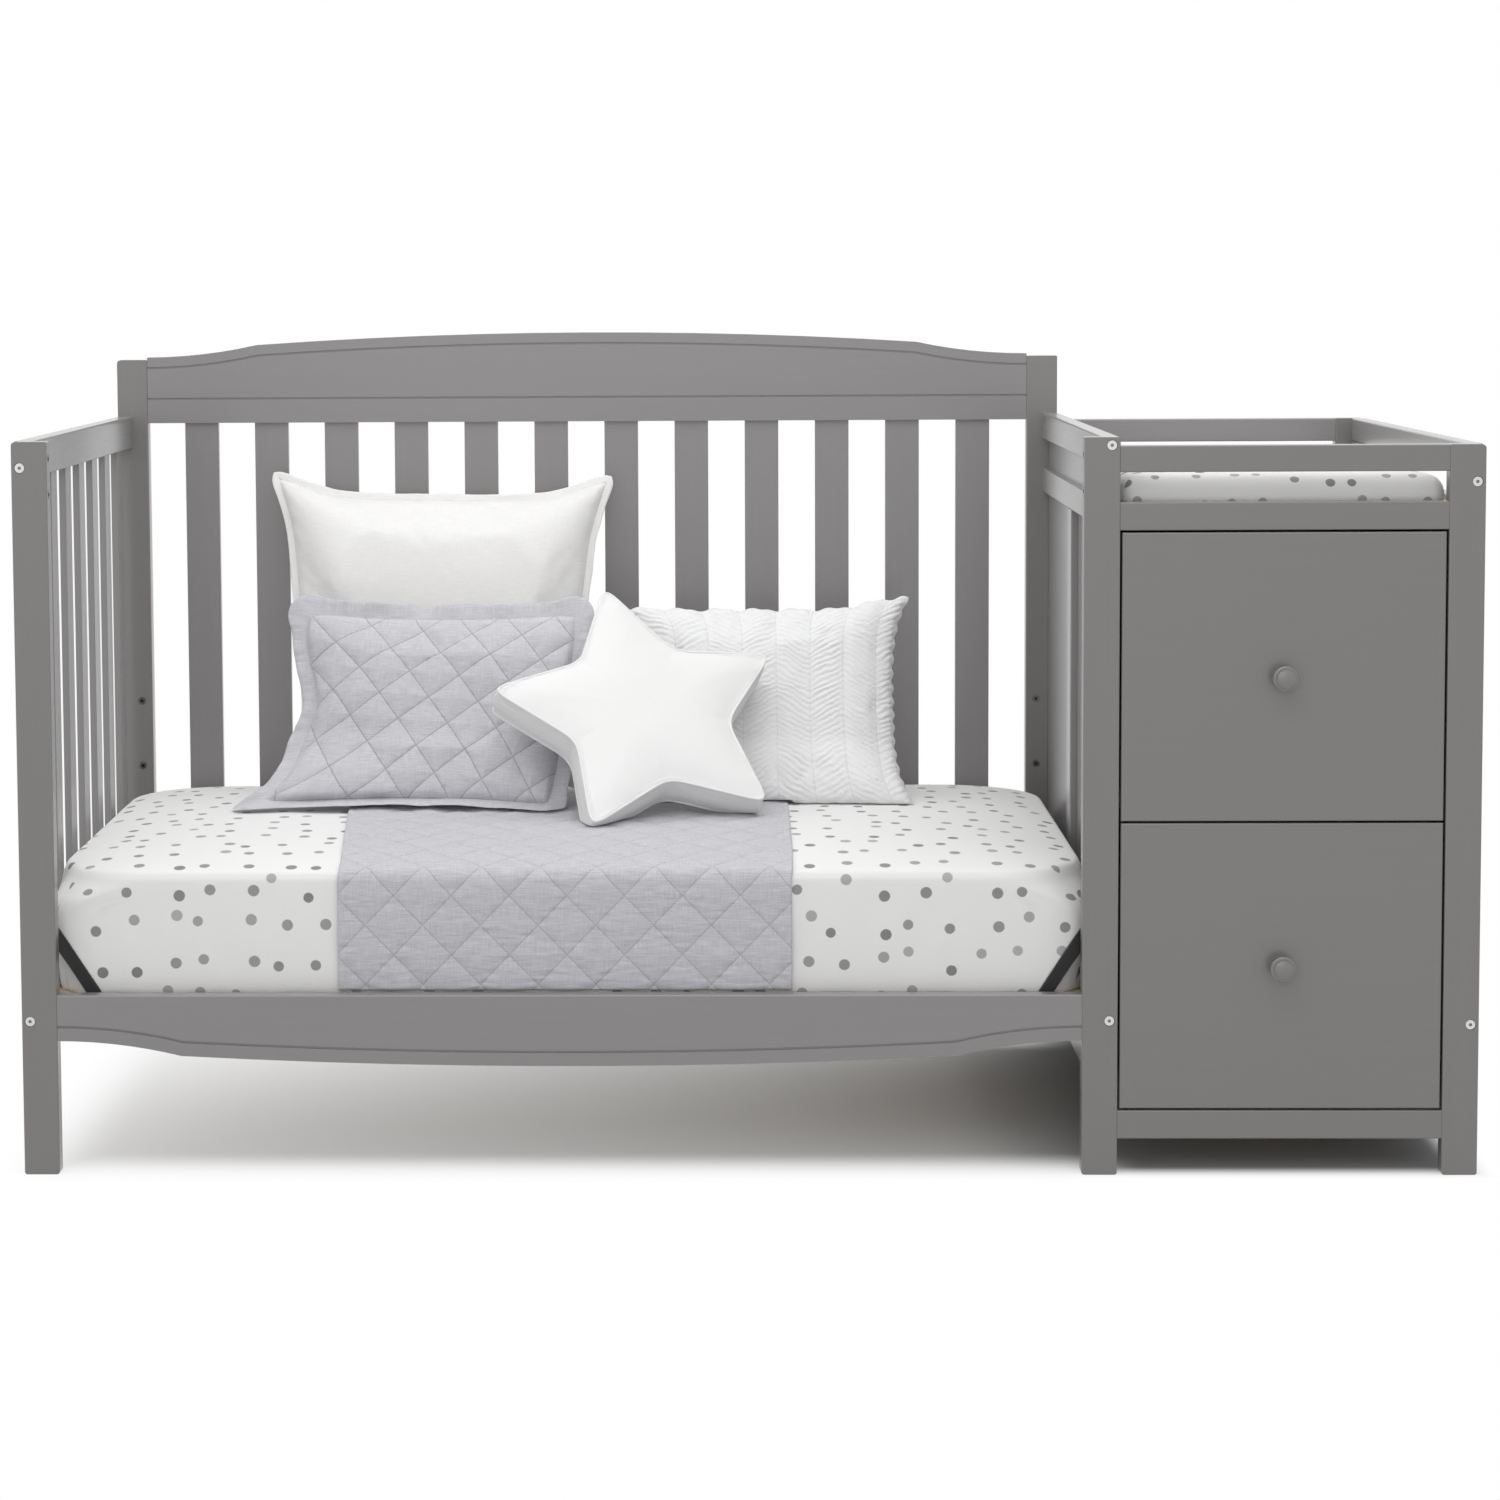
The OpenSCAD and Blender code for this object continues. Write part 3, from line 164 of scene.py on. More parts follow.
class Finish(Tree):
    """A procedural material: one Principled shader and the nodes that vary it."""

    def __init__(self, name, colour, roughness, **constants):
        self.material = bpy.data.materials.new(name)
        super().__init__(self.material)
        fixed = {"Base Color": (*colour, 1), "Roughness": roughness}
        fixed.update({key.replace("_", " "): value for key, value in constants.items()})
        self.shader = self.node("BsdfPrincipled", {}, fixed)
        self.node("OutputMaterial", {}, {"Surface": self.shader.outputs[0]})
        self.colour, self.roughness = colour, roughness

    def along(self, flat=False):
        """The surface's place in metres, as three values: of the object, or of its flat cloth."""
        if flat:
            place = self.node("Attribute", {"attribute_name": "cloth"}, {}).outputs["Vector"]
        else:
            place = self.node("TexCoord", {}, {}).outputs["Object"]
        apart = self.node("SeparateXYZ", {}, {0: place})
        return [Value(self, socket) for socket in apart.outputs]

    def joined(self, x, y, z=0.0):
        return self.node("CombineXYZ", {}, {0: x, 1: y, 2: z}).outputs[0]

    def noise(self, place, detail, rough=0.5):
        """Noise about 0 at a place given in its own hill widths."""
        sockets = {"Vector": place, "Scale": 1.0, "Detail": detail, "Roughness": rough}
        return Value(self, self.node("TexNoise", {}, sockets).outputs[0]) - 0.5

    def between(self, share, low, high):
        """A number between two numbers."""
        return share * (high - low) + low

    def blend(self, share, low, high):
        """A colour between two colours or colour sockets."""
        ends = [c if isinstance(c, bpy.types.NodeSocket) else (*c, 1) for c in (low, high)]
        mix = self.node("Mix", {"data_type": "RGBA"}, {0: share, 6: ends[0], 7: ends[1]})
        return mix.outputs[2]

    def shaded(self, tone, spread):
        """The finish's own colour, lighter and darker by the spread where tone is 1 and -1."""
        low = [c * (1 - spread) for c in self.colour]
        high = [c * (1 + spread) for c in self.colour]
        return self.blend(tone * 0.5 + 0.5, low, high)

    def wear(self, colour, rougher=None, height=None, depth=0.0, strength=1.0):
        """Feeds the shader what varies. height is in units of depth, in metres."""
        self.links.new(colour, self.shader.inputs["Base Color"])
        if rougher is not None:
            self.links.new((rougher + self.roughness).socket, self.shader.inputs["Roughness"])
        if height is not None:
            sockets = {"Strength": strength, "Distance": depth, "Height": height}
            bump = self.node("Bump", {}, sockets)
            self.links.new(bump.outputs[0], self.shader.inputs["Normal"])
        return self.material


def grain(finish, axis, long, across, detail=2):
    """Noise drawn out along a board, with these hill widths along and across it."""
    parts = finish.along()
    scaled = [p * (1 / (long if i == axis else across)) for i, p in enumerate(parts)]
    return finish.noise(finish.joined(*scaled), detail)


def painted_wood(name, colour, axis):
    """Satin grey paint that lets the closed grain of the board show through."""
    finish = Finish(f"{name}_{'xyz'[axis]}", colour, 0.40, Coat_Weight=0.8, Coat_Roughness=0.2)
    broad = grain(finish, axis, 0.30, 0.014)
    streak = grain(finish, axis, 0.09, 0.0028, 3)
    pore = grain(finish, axis, 0.022, 0.0009)
    tone = broad * 0.9 + streak * 1.1 + pore * 0.5
    height = streak * 0.8 + pore
    return finish.wear(finish.shaded(tone, 0.055), streak * 0.14, height, 0.00008, 0.5)


def bare_wood(axis):
    """Clear-coated pine: growth lines along the board, with a few darker bands."""
    finish = Finish(f"bare_wood_{'xyz'[axis]}", (0.60, 0.49, 0.35), 0.48)
    warp = grain(finish, axis, 0.45, 0.05)
    parts = finish.along()
    across = parts[(axis + 1) % 3] + parts[(axis + 2) % 3] * 0.6
    lines = ((across * 190 + warp * 16) * math.pi).sine()
    band = grain(finish, axis, 0.6, 0.03)
    pore = grain(finish, axis, 0.02, 0.0008)
    ground = finish.shaded(lines * 0.35 + band * 1.2 + pore * 0.5, 0.20)
    return finish.wear(ground, pore * 0.15, pore + lines * 0.2, 0.0001, 0.6)


def enamelled_steel():
    """White powder coat with the fine dimples of its cure."""
    finish = Finish("enamelled_steel", (0.78, 0.78, 0.76), 0.38)
    x, y, z = finish.along()
    dimple = finish.noise(finish.joined(x * 700, y * 700, z * 700), 1)
    haze = finish.noise(finish.joined(x * 20, y * 20, z * 20), 2)
    return finish.wear(finish.shaded(haze, 0.05), haze * 0.12, dimple, 0.00008, 0.8)


def zinc_steel():
    """Bright zinc plate, brushed round and a little clouded, and dark deep in the bolts as painted
    shade.
    """
    finish = Finish("zinc_steel", (0.66, 0.66, 0.64), 0.27, Metallic=1.0)
    x, y, z = finish.along()
    cloud = finish.noise(finish.joined(x * 260, y * 260, z * 260), 3)
    brush = finish.noise(finish.joined(x * 4200, y * 900, z * 4200), 1)
    low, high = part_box("bolts")
    # painted shade: the zinc turns dark further than about a millimetre from the bolts' front and
    # back faces along Y, so their sockets and the sides of their heads show dark
    depth_for_painted_shade = (high[1] - low[1]) / 2 - (y - (high[1] + low[1]) / 2).size()
    bright = finish.shaded(cloud, 0.14)
    colour = finish.blend(depth_for_painted_shade.rise(0.0004, 0.0014), bright, [c * 0.30 for c in finish.colour])
    return finish.wear(colour, cloud * 0.2, brush, 0.00003, 0.7)


def moulded_nylon():
    finish = Finish("moulded_nylon", (0.83, 0.83, 0.80), 0.46)
    x, y, z = finish.along()
    cloud = finish.noise(finish.joined(x * 150, y * 150, z * 150), 3)
    return finish.wear(finish.shaded(cloud, 0.06), cloud * 0.15, cloud, 0.00005, 0.6)


def weave(finish, thread, slub, slub_long):
    """Crossing threads: how thick the weft and the warp yarns are, and the bumps they make."""
    u, v, _ = finish.along(flat=True)
    weft = finish.noise(finish.joined(u * (1 / slub_long), v * (1 / slub), 3.0), 3, 0.6)
    warp = finish.noise(finish.joined(u * (1 / slub), v * (1 / slub_long), 7.0), 3, 0.6)
    turn = math.tau / thread
    over = (u * turn).sine() * (v * turn).sine()
    return weft, warp, over


def diamond_lines(one, other, at):
    """The two sets of stitched lines round diamonds with these two sides and a corner at a place.

    Each is (a, b, offset, gap): a x + b y + offset is a whole number on each line, and the lines
    are a gap apart.
    """
    turn = np.linalg.inv(np.array([one, other]))
    area = abs(one[0] * other[1] - one[1] * other[0])
    gaps = (area / math.hypot(*other), area / math.hypot(*one))
    return [(*turn[:, i].tolist(), -float(np.dot(at, turn[:, i])), gaps[i]) for i in (0, 1)]


def linen(name, colour, spread, lines=(), ink=0.0, sheen=0.30):
    """Linen with slubs in both directions, and the thin sunk stitches of its diamond lines.

    ink is how dark the stitches are.
    """
    finish = Finish(name, colour, 0.88, Sheen_Weight=sheen, Sheen_Roughness=0.4)
    weft, warp, over = weave(finish, 0.0011, 0.0016, 0.022)
    tone = weft * 1.5 + warp * 1.0 + over * 0.06
    height = weft + warp * 0.8 + over * 0.5
    ground = finish.shaded(tone, spread)
    if lines:
        u, v, quilted = finish.along(flat=True)
        stitch = 0.0
        for a, b, offset, gap in lines:
            thin = 1 - ((u * a + v * b + offset).off_whole() * gap).rise(0.0003, 0.0010)
            dash = ((u * b - v * a) * (math.tau * gap / 0.0034)).sine() * 0.2 + 0.8
            stitch = (thin * dash).most(stitch)
        stitch = stitch * quilted
        ground = finish.blend(stitch * ink, ground, [c * 0.30 for c in colour])
        height = height - stitch * 2.5
    return finish.wear(ground, warp * 0.1, height, 0.00022, 0.8)


def fine_cotton(name, colour, roughness):
    """A finish of fine cotton, and its weave."""
    finish = Finish(name, colour, roughness, Sheen_Weight=0.12, Sheen_Roughness=0.5)
    return finish, *weave(finish, 0.0008, 0.0012, 0.008)


def plain_cotton(name, colour):
    finish, weft, warp, over = fine_cotton(name, colour, 0.85)
    ground = finish.shaded(weft + warp + over * 0.2, 0.025)
    return finish.wear(ground, weft * 0.08, weft + warp + over, 0.0001, 0.7)


RUCHE_WIDE = 0.053
RUCHE_AT = 0.011
RUCHE_PITCH = 0.0082
RUCHE_LEAN = 0.48


def ruched_cotton(name, colour):
    """Thin cotton, crinkled along the slanted folds between its upright seams. Its colour has
    painted shade: a little darker down in the crinkles and along the seams.
    """
    finish, weft, warp, over = fine_cotton(name, colour, 0.85)
    u, v, _ = finish.along(flat=True)
    column = (u - RUCHE_AT) * (1 / RUCHE_WIDE)
    side = (column * 0.5 + 0.25).off_whole() * 2 - 0.5
    along = v + side * (RUCHE_LEAN * RUCHE_WIDE)
    crinkle = finish.noise(finish.joined(u * 45, along * 260, 1.0), 3, 0.6)
    fine = finish.noise(finish.joined(u * 110, along * 700, 5.0), 2)
    seam = 1 - (column.off_whole() * RUCHE_WIDE).rise(0.0003, 0.0012)
    height = crinkle * 1.6 + fine * 0.5 - seam * 0.5 + (weft + warp + over) * 0.05
    # painted shade: the colour follows the crinkles' height, a little darker down in their hollows
    # and along the seams
    tone = crinkle * 1.4 + fine - seam
    return finish.wear(finish.shaded(tone, 0.04), weft * 0.08, height, 0.0011, 0.8)


DOT_PITCH = 0.047
DOT_RADIUS = 0.0068


def dotted_cotton(name, colour, dot_colour):
    """White percale printed with small grey dots, scattered but evenly apart."""
    finish, weft, warp, over = fine_cotton(name, colour, 0.82)
    u, v, _ = finish.along(flat=True)
    place = finish.joined(u * (1 / DOT_PITCH), v * (1 / DOT_PITCH))
    cells = finish.node("TexVoronoi", {"voronoi_dimensions": "2D"},
                        {"Vector": place, "Scale": 1.0, "Randomness": 0.58})
    sizes = finish.node("SeparateColor", {}, {0: cells.outputs["Color"]})
    edge = Value(finish, cells.outputs["Distance"]) + weft * 0.025
    edge = edge * (1.07 - Value(finish, sizes.outputs[0]) * 0.14)
    outside = edge.rise(DOT_RADIUS / DOT_PITCH - 0.012, DOT_RADIUS / DOT_PITCH + 0.012)
    ground = finish.shaded(weft + warp + over * 0.2, 0.02)
    ink = Value(finish, sizes.outputs[1]) * 0.9 + weft * 0.1
    dot = finish.blend(ink, [c * 0.75 for c in dot_colour], [c * 1.55 for c in dot_colour])
    dotted = finish.blend(outside, dot, ground)
    return finish.wear(dotted, weft * 0.08, weft + warp + over, 0.0001, 0.7)


def elastic_webbing():
    """Black elastic tape with ribs across it."""
    finish = Finish("elastic_webbing", (0.012, 0.012, 0.014), 0.7, Sheen_Weight=0.2)
    u, v, _ = finish.along(flat=True)
    ribs = (u * (math.tau / 0.0016)).sine()
    edges = (v * (math.tau / 0.004)).sine()
    tone = ribs * 0.6 + edges * 0.3
    return finish.wear(finish.shaded(tone, 0.35), ribs * 0.05, ribs + edges * 0.4, 0.0003)


AXES = range(3)
BOARD_PAINT = [painted_wood("painted_board", (0.212, 0.205, 0.2045), axis) for axis in AXES]
# A darker, slightly warmer copy of the board paint: painted shade
SHADED_PAINT = [painted_wood("painted_wood_shaded", (0.170, 0.164, 0.158), axis) for axis in AXES]
WOOD = [bare_wood(axis) for axis in AXES]
STEEL, ZINC, NYLON = enamelled_steel(), zinc_steel(), moulded_nylon()
LINEN_GREY = (0.535, 0.53, 0.56)
THROW_LINES = diamond_lines((0.03635, 0.0377), (0.03635, -0.0377), (-0.477, 0.007))
QUILT_LINES = diamond_lines((0.0320, -0.0372), (0.0432, 0.0312), (-0.012, 0.005))
# The throw's linen is the pillow's grey linen made a little darker, as painted shade, with more
# sheen
THROW_LINEN = linen("grey_linen_throw", (0.515, 0.51, 0.54), 0.42, THROW_LINES, 0.32, 0.42)
QUILT_LINEN = linen("grey_linen_pillow", LINEN_GREY, 0.36, QUILT_LINES, 0.55)
WHITE_LINEN = linen("white_linen", (0.82, 0.815, 0.80), 0.12)
STAR_COTTON = plain_cotton("white_cotton", (0.80, 0.80, 0.795))
RUCHED_COTTON = ruched_cotton("ruched_cotton", (0.78, 0.78, 0.785))
SHEET_COTTON = dotted_cotton("dotted_cotton", (0.80, 0.795, 0.79), (0.29, 0.285, 0.285))
WEBBING = elastic_webbing()

# What the names hold of the nodes with their grain along Y and Z. The others have it along X.
GRAIN_Y = re.compile("left_top|left_bottom|middle_(top|deck|bottom)|right_(top|lower)|battens|"
                     "support_slats|changing_deck|drawer_(sides|bottom|knob)")
GRAIN_Z = re.compile("post|headboard_slats|left_slats|stile|panels")

# The posts, chest front and drawers take the board paint a little warmer, and darker as painted
# shade
SHADED_PARTS = ("post_", "chest_front", "upper_drawer", "lower_drawer")


def finish_frame():
    """Gives every rigid node the finish of its slot, with the grain along its boards."""
    slots = {part["node"]: part["material_slot"] for part in frame["record"]["subparts"]}
    for name, node in frame["nodes"].items():
        axis = 1 if GRAIN_Y.search(name) else 2 if GRAIN_Z.search(name) else 0
        paint = SHADED_PAINT if name.startswith(SHADED_PARTS) else BOARD_PAINT
        finishes = {"painted_wood": paint[axis], "bare_wood": WOOD[axis], "enamelled_steel": STEEL,
                    "zinc_steel": ZINC, "nylon": NYLON}
        if slots[name] in finishes:
            for slot in node.material_slots:
                slot.material = finishes[slots[name]]


# ---------- shapes of cloth ----------


def paired(first, second):
    """Points of these two coordinates, each a number or an array."""
    return np.stack(np.broadcast_arrays(first, second), axis=-1)


def unit(ways):
    return ways / np.linalg.norm(ways, axis=1, keepdims=True)


def run_along(points):
    """How far each point of a row is along it."""
    return np.concatenate([[0], np.cumsum(np.linalg.norm(np.diff(points, axis=0), axis=1))])


def softened(ring, times, axis=0):
    """A closed row of points or values, each averaged with its neighbours a number of times."""
    for _ in range(times):
        ring = (np.roll(ring, 1, axis) + 2 * ring + np.roll(ring, -1, axis)) / 4
    return ring


def value_noise(points, size, seed):
    """Smooth seeded noise from -1 to 1 at 2-D points, with hills about size apart."""
    places = np.asarray(points, float) / size
    cell = np.floor(places).astype(np.int64)
    part = places - cell
    part = part * part * (3 - 2 * part)

    def corner(dx, dy):
        n = (cell[..., 0] + dx) * 374761393 + (cell[..., 1] + dy) * 668265263 + seed * 144269504
        n = (n ^ (n >> 13)) * 1274126177
        return ((n ^ (n >> 16)) & 0xFFFF) / 32767.5 - 1

    low = corner(0, 0) * (1 - part[..., 0]) + corner(1, 0) * part[..., 0]
    high = corner(0, 1) * (1 - part[..., 0]) + corner(1, 1) * part[..., 0]
    return low * (1 - part[..., 1]) + high * part[..., 1]


def smooth_step(value, low, high):
    t = np.clip((np.asarray(value, float) - low) / (high - low), 0, 1)
    return t * t * (3 - 2 * t)


def drawn_through(points, times, closed=False):
    """A finer row of points on the smooth curve through the rows of points."""
    if closed:
        ends = np.concatenate([points[-1:], points, points[:2]])
    else:
        before, after = 2 * points[:1] - points[1:2], 2 * points[-1:] - points[-2:-1]
        ends = np.concatenate([before, points, after])
    a, b, c, d = ends[:-3], ends[1:-2], ends[2:-1], ends[3:]
    fine = np.empty((len(b) * times,) + points.shape[1:])
    for k in range(times):
        t = k / times
        fine[k::times] = b + 0.5 * t * ((c - a) + t * ((2 * a - 5 * b + 4 * c - d)
                                                       + t * (3 * b - a - 3 * c + d)))
    return fine if closed else np.concatenate([fine, points[-1:]])


def refined(grid, times, closed=False):
    """A grid of points with more rows and columns; closed where its columns meet round a ring."""
    grid = drawn_through(grid, times)
    return np.swapaxes(drawn_through(np.swapaxes(grid, 0, 1), times, closed), 0, 1)


def numbered(grid):
    """Vertex numbers for a grid of points."""
    rows, columns = grid.shape[:2]
    return np.arange(rows * columns).reshape(rows, columns)


def seam_loop(grid):
    """What is round the edge of a grid, counter-clockwise from its first corner."""
    return np.concatenate([grid[0, :-1], grid[:-1, -1], grid[-1, :0:-1], grid[:0:-1, 0]])


def grid_faces(index, closed=False):
    """Four-sided faces between the rows and columns of a grid of vertex numbers."""
    if closed:
        index = np.concatenate([index, index[:, :1]], axis=1)
    corners = (index[:-1, :-1], index[:-1, 1:], index[1:, 1:], index[1:, :-1])
    return np.stack(corners, axis=-1).reshape(-1, 4)


def grid_normals(grid, closed=False):
    rows = np.gradient(grid, axis=0)
    if closed:
        columns = (np.roll(grid, -1, axis=1) - np.roll(grid, 1, axis=1)) / 2
    else:
        columns = np.gradient(grid, axis=1)
    normals = np.cross(columns, rows)
    return normals / np.maximum(np.linalg.norm(normals, axis=-1, keepdims=True), 1e-12)


def capped_faces(rings, flip=False):
    """Faces of a stack of rings, with one more across each of its ends."""
    index = numbered(rings)
    faces = [*grid_faces(index, closed=True), index[0, ::-1], index[-1]]
    return [(face[::-1] if flip else face).tolist() for face in faces]


def doubled(under, over, cloth):
    """A part for add_piece of two layers of cloth and the rim that joins them."""
    low = numbered(under)
    high = low + low.size
    rim = grid_faces(np.stack([seam_loop(high), seam_loop(low)]), closed=True)
    faces = np.concatenate([grid_faces(low), grid_faces(high)[:, ::-1], rim])
    points = np.concatenate([under.reshape(-1, 3), over.reshape(-1, 3)])
    return points, faces, np.concatenate([cloth.reshape(-1, 2)] * 2)


def add_piece(name, parts, material, replaces=()):
    """One object of several (points, faces, cloth places) parts. It rides on the crib.

    A third column of a part's cloth places is 0 where its cloth has no quilting.
    """
    points = np.concatenate([part[0] for part in parts])
    cloth = np.concatenate([np.column_stack([part[2], np.ones(len(part[2]))])[:, :3]
                            for part in parts])
    starts = np.cumsum([0] + [len(part[0]) for part in parts[:-1]])
    faces = [(np.asarray(face) + start).tolist()
             for part, start in zip(parts, starts) for face in part[1]]
    mesh = bpy.data.meshes.new(name)
    mesh.from_pydata(points.tolist(), [], faces)
    flat = mesh.attributes.new("cloth", "FLOAT_VECTOR", "POINT")
    flat.data.foreach_set("vector", cloth.ravel())
    mesh.polygons.foreach_set("use_smooth", [True] * len(mesh.polygons))
    mesh.update()
    piece = bpy.data.objects.new(name, mesh)
    piece.data.materials.append(material)
    bpy.context.scene.collection.objects.link(piece)
    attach(piece, ROOT)
    if replaces:
        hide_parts(*replaces)
    return piece


# In the simulation's own units
PILLOW_PRESSURE, STAR_PRESSURE = 5, 3
STIFFNESS = 25


def inflated(points, faces, pressure, frames, reach):
    """The points after the cloth on them has been blown up, none moved further than reach."""
    mesh = bpy.data.meshes.new("filling")
    mesh.from_pydata(points.tolist(), [], [list(map(int, face)) for face in faces])
    cushion = bpy.data.objects.new("filling", mesh)
    bpy.context.scene.collection.objects.link(cushion)
    cloth = cushion.modifiers.new("Cloth", "CLOTH")
    settings = {"quality": 5, "mass": 0.3, "tension_stiffness": STIFFNESS,
                "compression_stiffness": STIFFNESS, "shear_stiffness": STIFFNESS / 3,
                "bending_stiffness": 0.3, "use_pressure": True, "uniform_pressure_force": pressure}
    for name, setting in settings.items():
        setattr(cloth.settings, name, setting)
    cloth.settings.effector_weights.gravity = 0
    cloth.collision_settings.use_collision = False
    cloth.point_cache.frame_start = 1
    cloth.point_cache.frame_end = frames
    for step in range(1, frames + 1):
        bpy.context.scene.frame_set(step)
    shape = cushion.evaluated_get(bpy.context.evaluated_depsgraph_get()).data
    blown = np.empty(len(points) * 3)
    shape.vertices.foreach_get("co", blown)
    bpy.data.objects.remove(cushion)
    bpy.data.meshes.remove(mesh)
    bpy.context.scene.frame_set(1)
    move = blown.reshape(-1, 3) - points
    far = np.linalg.norm(move, axis=1, keepdims=True)
    return points + move * np.minimum(1, reach / np.maximum(far, 1e-9))


class Pillow:
    """Two layers of cloth sewn together round their edge, as grids of points.

    Its own axes are x to the right, y up from the lower seam and z out of the front.
    """

    def __init__(self, width, height, thick, cells, blunt=0.04):
        u, v = np.meshgrid(*[np.linspace(-1, 1, count + 1) for count in cells])
        self.size = (width, height, thick)
        corners = 1 - blunt * np.abs(u * v)[..., None] ** 10
        self.flat = paired(u * width / 2, v * height / 2) * corners
        rise = 0.75 * thick / 2 * ((1 - u ** 6) * (1 - v ** 6)) ** 0.6
        self.front = np.concatenate([self.flat, rise[..., None]], axis=-1)
        self.back = np.concatenate([self.flat, -rise[..., None]], axis=-1)

    def index(self):
        """Vertex numbers of the two layers, which share those of the seam."""
        front = numbered(self.front)
        back = front.copy()
        back[1:-1, 1:-1] = front.size + numbered(self.front[1:-1, 1:-1])
        return front, back

    def part(self):
        """Points, faces and cloth places for add_piece."""
        front, back = self.index()
        points = np.concatenate([self.front.reshape(-1, 3), self.back[1:-1, 1:-1].reshape(-1, 3)])
        cloth = np.concatenate([self.flat.reshape(-1, 2), self.flat[1:-1, 1:-1].reshape(-1, 2)])
        faces = np.concatenate([grid_faces(front), grid_faces(back)[:, ::-1]])
        return points, faces, cloth

    def fill(self, frames, reach, pull, keep=0.25):
        """Blows the pillow up, then brings it to its measured size, lower seam at y = 0.

        Its sides and ends draw in by the shares in pull, and keep that share of their own draw.
        """
        u, v = (2 * self.flat[..., i] / self.size[i] for i in (0, 1))
        drawn = self.flat * paired(1 - pull[0] * (1 - v ** 4), 1 - pull[1] * (1 - u ** 4))
        plump = [self.front[..., 2], self.back[..., 2]]
        points, faces, _ = self.part()
        points = inflated(points, faces, PILLOW_PRESSURE, frames, reach)
        front, back = self.index()
        self.front, self.back = points[front], points[back]
        for layer, smooth in zip((self.front, self.back), plump):
            drawn = drawn + keep / 2 * (layer[..., :2] - self.flat)
            full = np.abs(layer[..., 2]).max() / np.abs(smooth).max()
            layer[..., 2] = 0.65 * layer[..., 2] + 0.35 * smooth * full
        for layer in (self.front, self.back):
            layer[..., :2] = drawn
        both = np.concatenate([self.front, self.back]).reshape(-1, 3)
        low, high = both.min(axis=0), both.max(axis=0)
        for layer in (self.front, self.back):
            layer -= (low + high) / 2
            layer *= np.array(self.size) / (high - low)
            layer[..., 1] += self.size[1] / 2

    def refine(self, times):
        self.front, self.back = refined(self.front, times), refined(self.back, times)
        self.flat = refined(self.flat, times)

    def edge_fade(self, reach):
        """0 on the seam and 1 from reach inwards."""
        half = [np.abs(self.flat[..., i]).max() - np.abs(self.flat[..., i]) for i in (0, 1)]
        return smooth_step(np.minimum(*half), 0, reach)

    def emboss(self, height):
        """Moves both layers out by a height at each cloth place, which must be 0 on the seam."""
        self.front = self.front + grid_normals(self.front) * height[..., None]
        self.back = self.back - grid_normals(self.back) * height[..., None]

    def border(self, width, **looks):
        """The flange round this pillow."""
        return flange_part(seam_loop(self.front), seam_loop(self.flat), width, **looks)


# The length over which cloth turns off what it rests on
SOFT = 0.003


def pressed(gap):
    """A gap that never goes under 0 and turns smoothly, for what rests on something."""
    return 0.5 * (gap + np.sqrt(gap * gap + SOFT * SOFT))


# ---------- mattress, its fitted sheet and the throw ----------

mattress_low, mattress_high = (np.array(corner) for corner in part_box("mattress"))
MATTRESS_MID = (mattress_low + mattress_high) / 2
MATTRESS_SIZE = mattress_high - mattress_low
MATTRESS_EDGE_Z = 0.374
MATTRESS_CROWN = 0.022
MATTRESS_CORNER = 0.025
# Creases fan out this near a corner, round a point this far inside both its sides. They fade
# in and out between the first two and the last two of these heights.
CREASE_REACH = 0.11
CREASE_CENTRE = 0.16
CREASE_FOOT, CREASE_TOP = (0.24, 0.27), (0.350, 0.372)
CROWN_RUN = MATTRESS_SIZE[1] / 2 - 0.030


def crown_z(inset):
    share = np.minimum(inset / CROWN_RUN, 1) ** 0.62
    return MATTRESS_EDGE_Z + MATTRESS_CROWN * (1 - (1 - share) ** 2)


def bed_z(points):
    """Height of the mattress's top under 3-D points."""
    inset = [MATTRESS_SIZE[i] / 2 - np.abs(points[..., i] - MATTRESS_MID[i]) for i in (0, 1)]
    return crown_z(np.maximum(np.minimum(*inset), 0))


CORNER_POINTS = 14
SIDE_POINTS = (90, 48)
# Heights over which corners grow rounder, and over which the foot's do
ROUNDER_RUN = 0.045
TUCK_RUN = 0.075


def raised(ring, z):
    return np.column_stack([ring, np.full(len(ring), z)])


def rounded_ring(width, depth, radius):
    """Points round a rectangle with round corners, and the outward direction at each."""
    radius = min(radius, width / 2 - 1e-4, depth / 2 - 1e-4)
    points, outward = [], []
    middles = [np.array([sx * (width / 2 - radius), sy * (depth / 2 - radius)])
               for sx, sy in ((1, -1), (1, 1), (-1, 1), (-1, -1))]
    for k, middle in enumerate(middles):
        start = math.radians(-90 + 90 * k)
        for i in range(CORNER_POINTS):
            angle = start + math.pi / 2 * i / (CORNER_POINTS - 1)
            way = np.array([math.cos(angle), math.sin(angle)])
            points.append(middle + radius * way)
            outward.append(way)
        ahead = middles[(k + 1) % 4] - middle
        count = SIDE_POINTS[(k + 1) % 2]
        for i in range(1, count):
            points.append(middle + ahead * (i / count) + radius * way)
            outward.append(way)
    return np.array(points), np.array(outward)


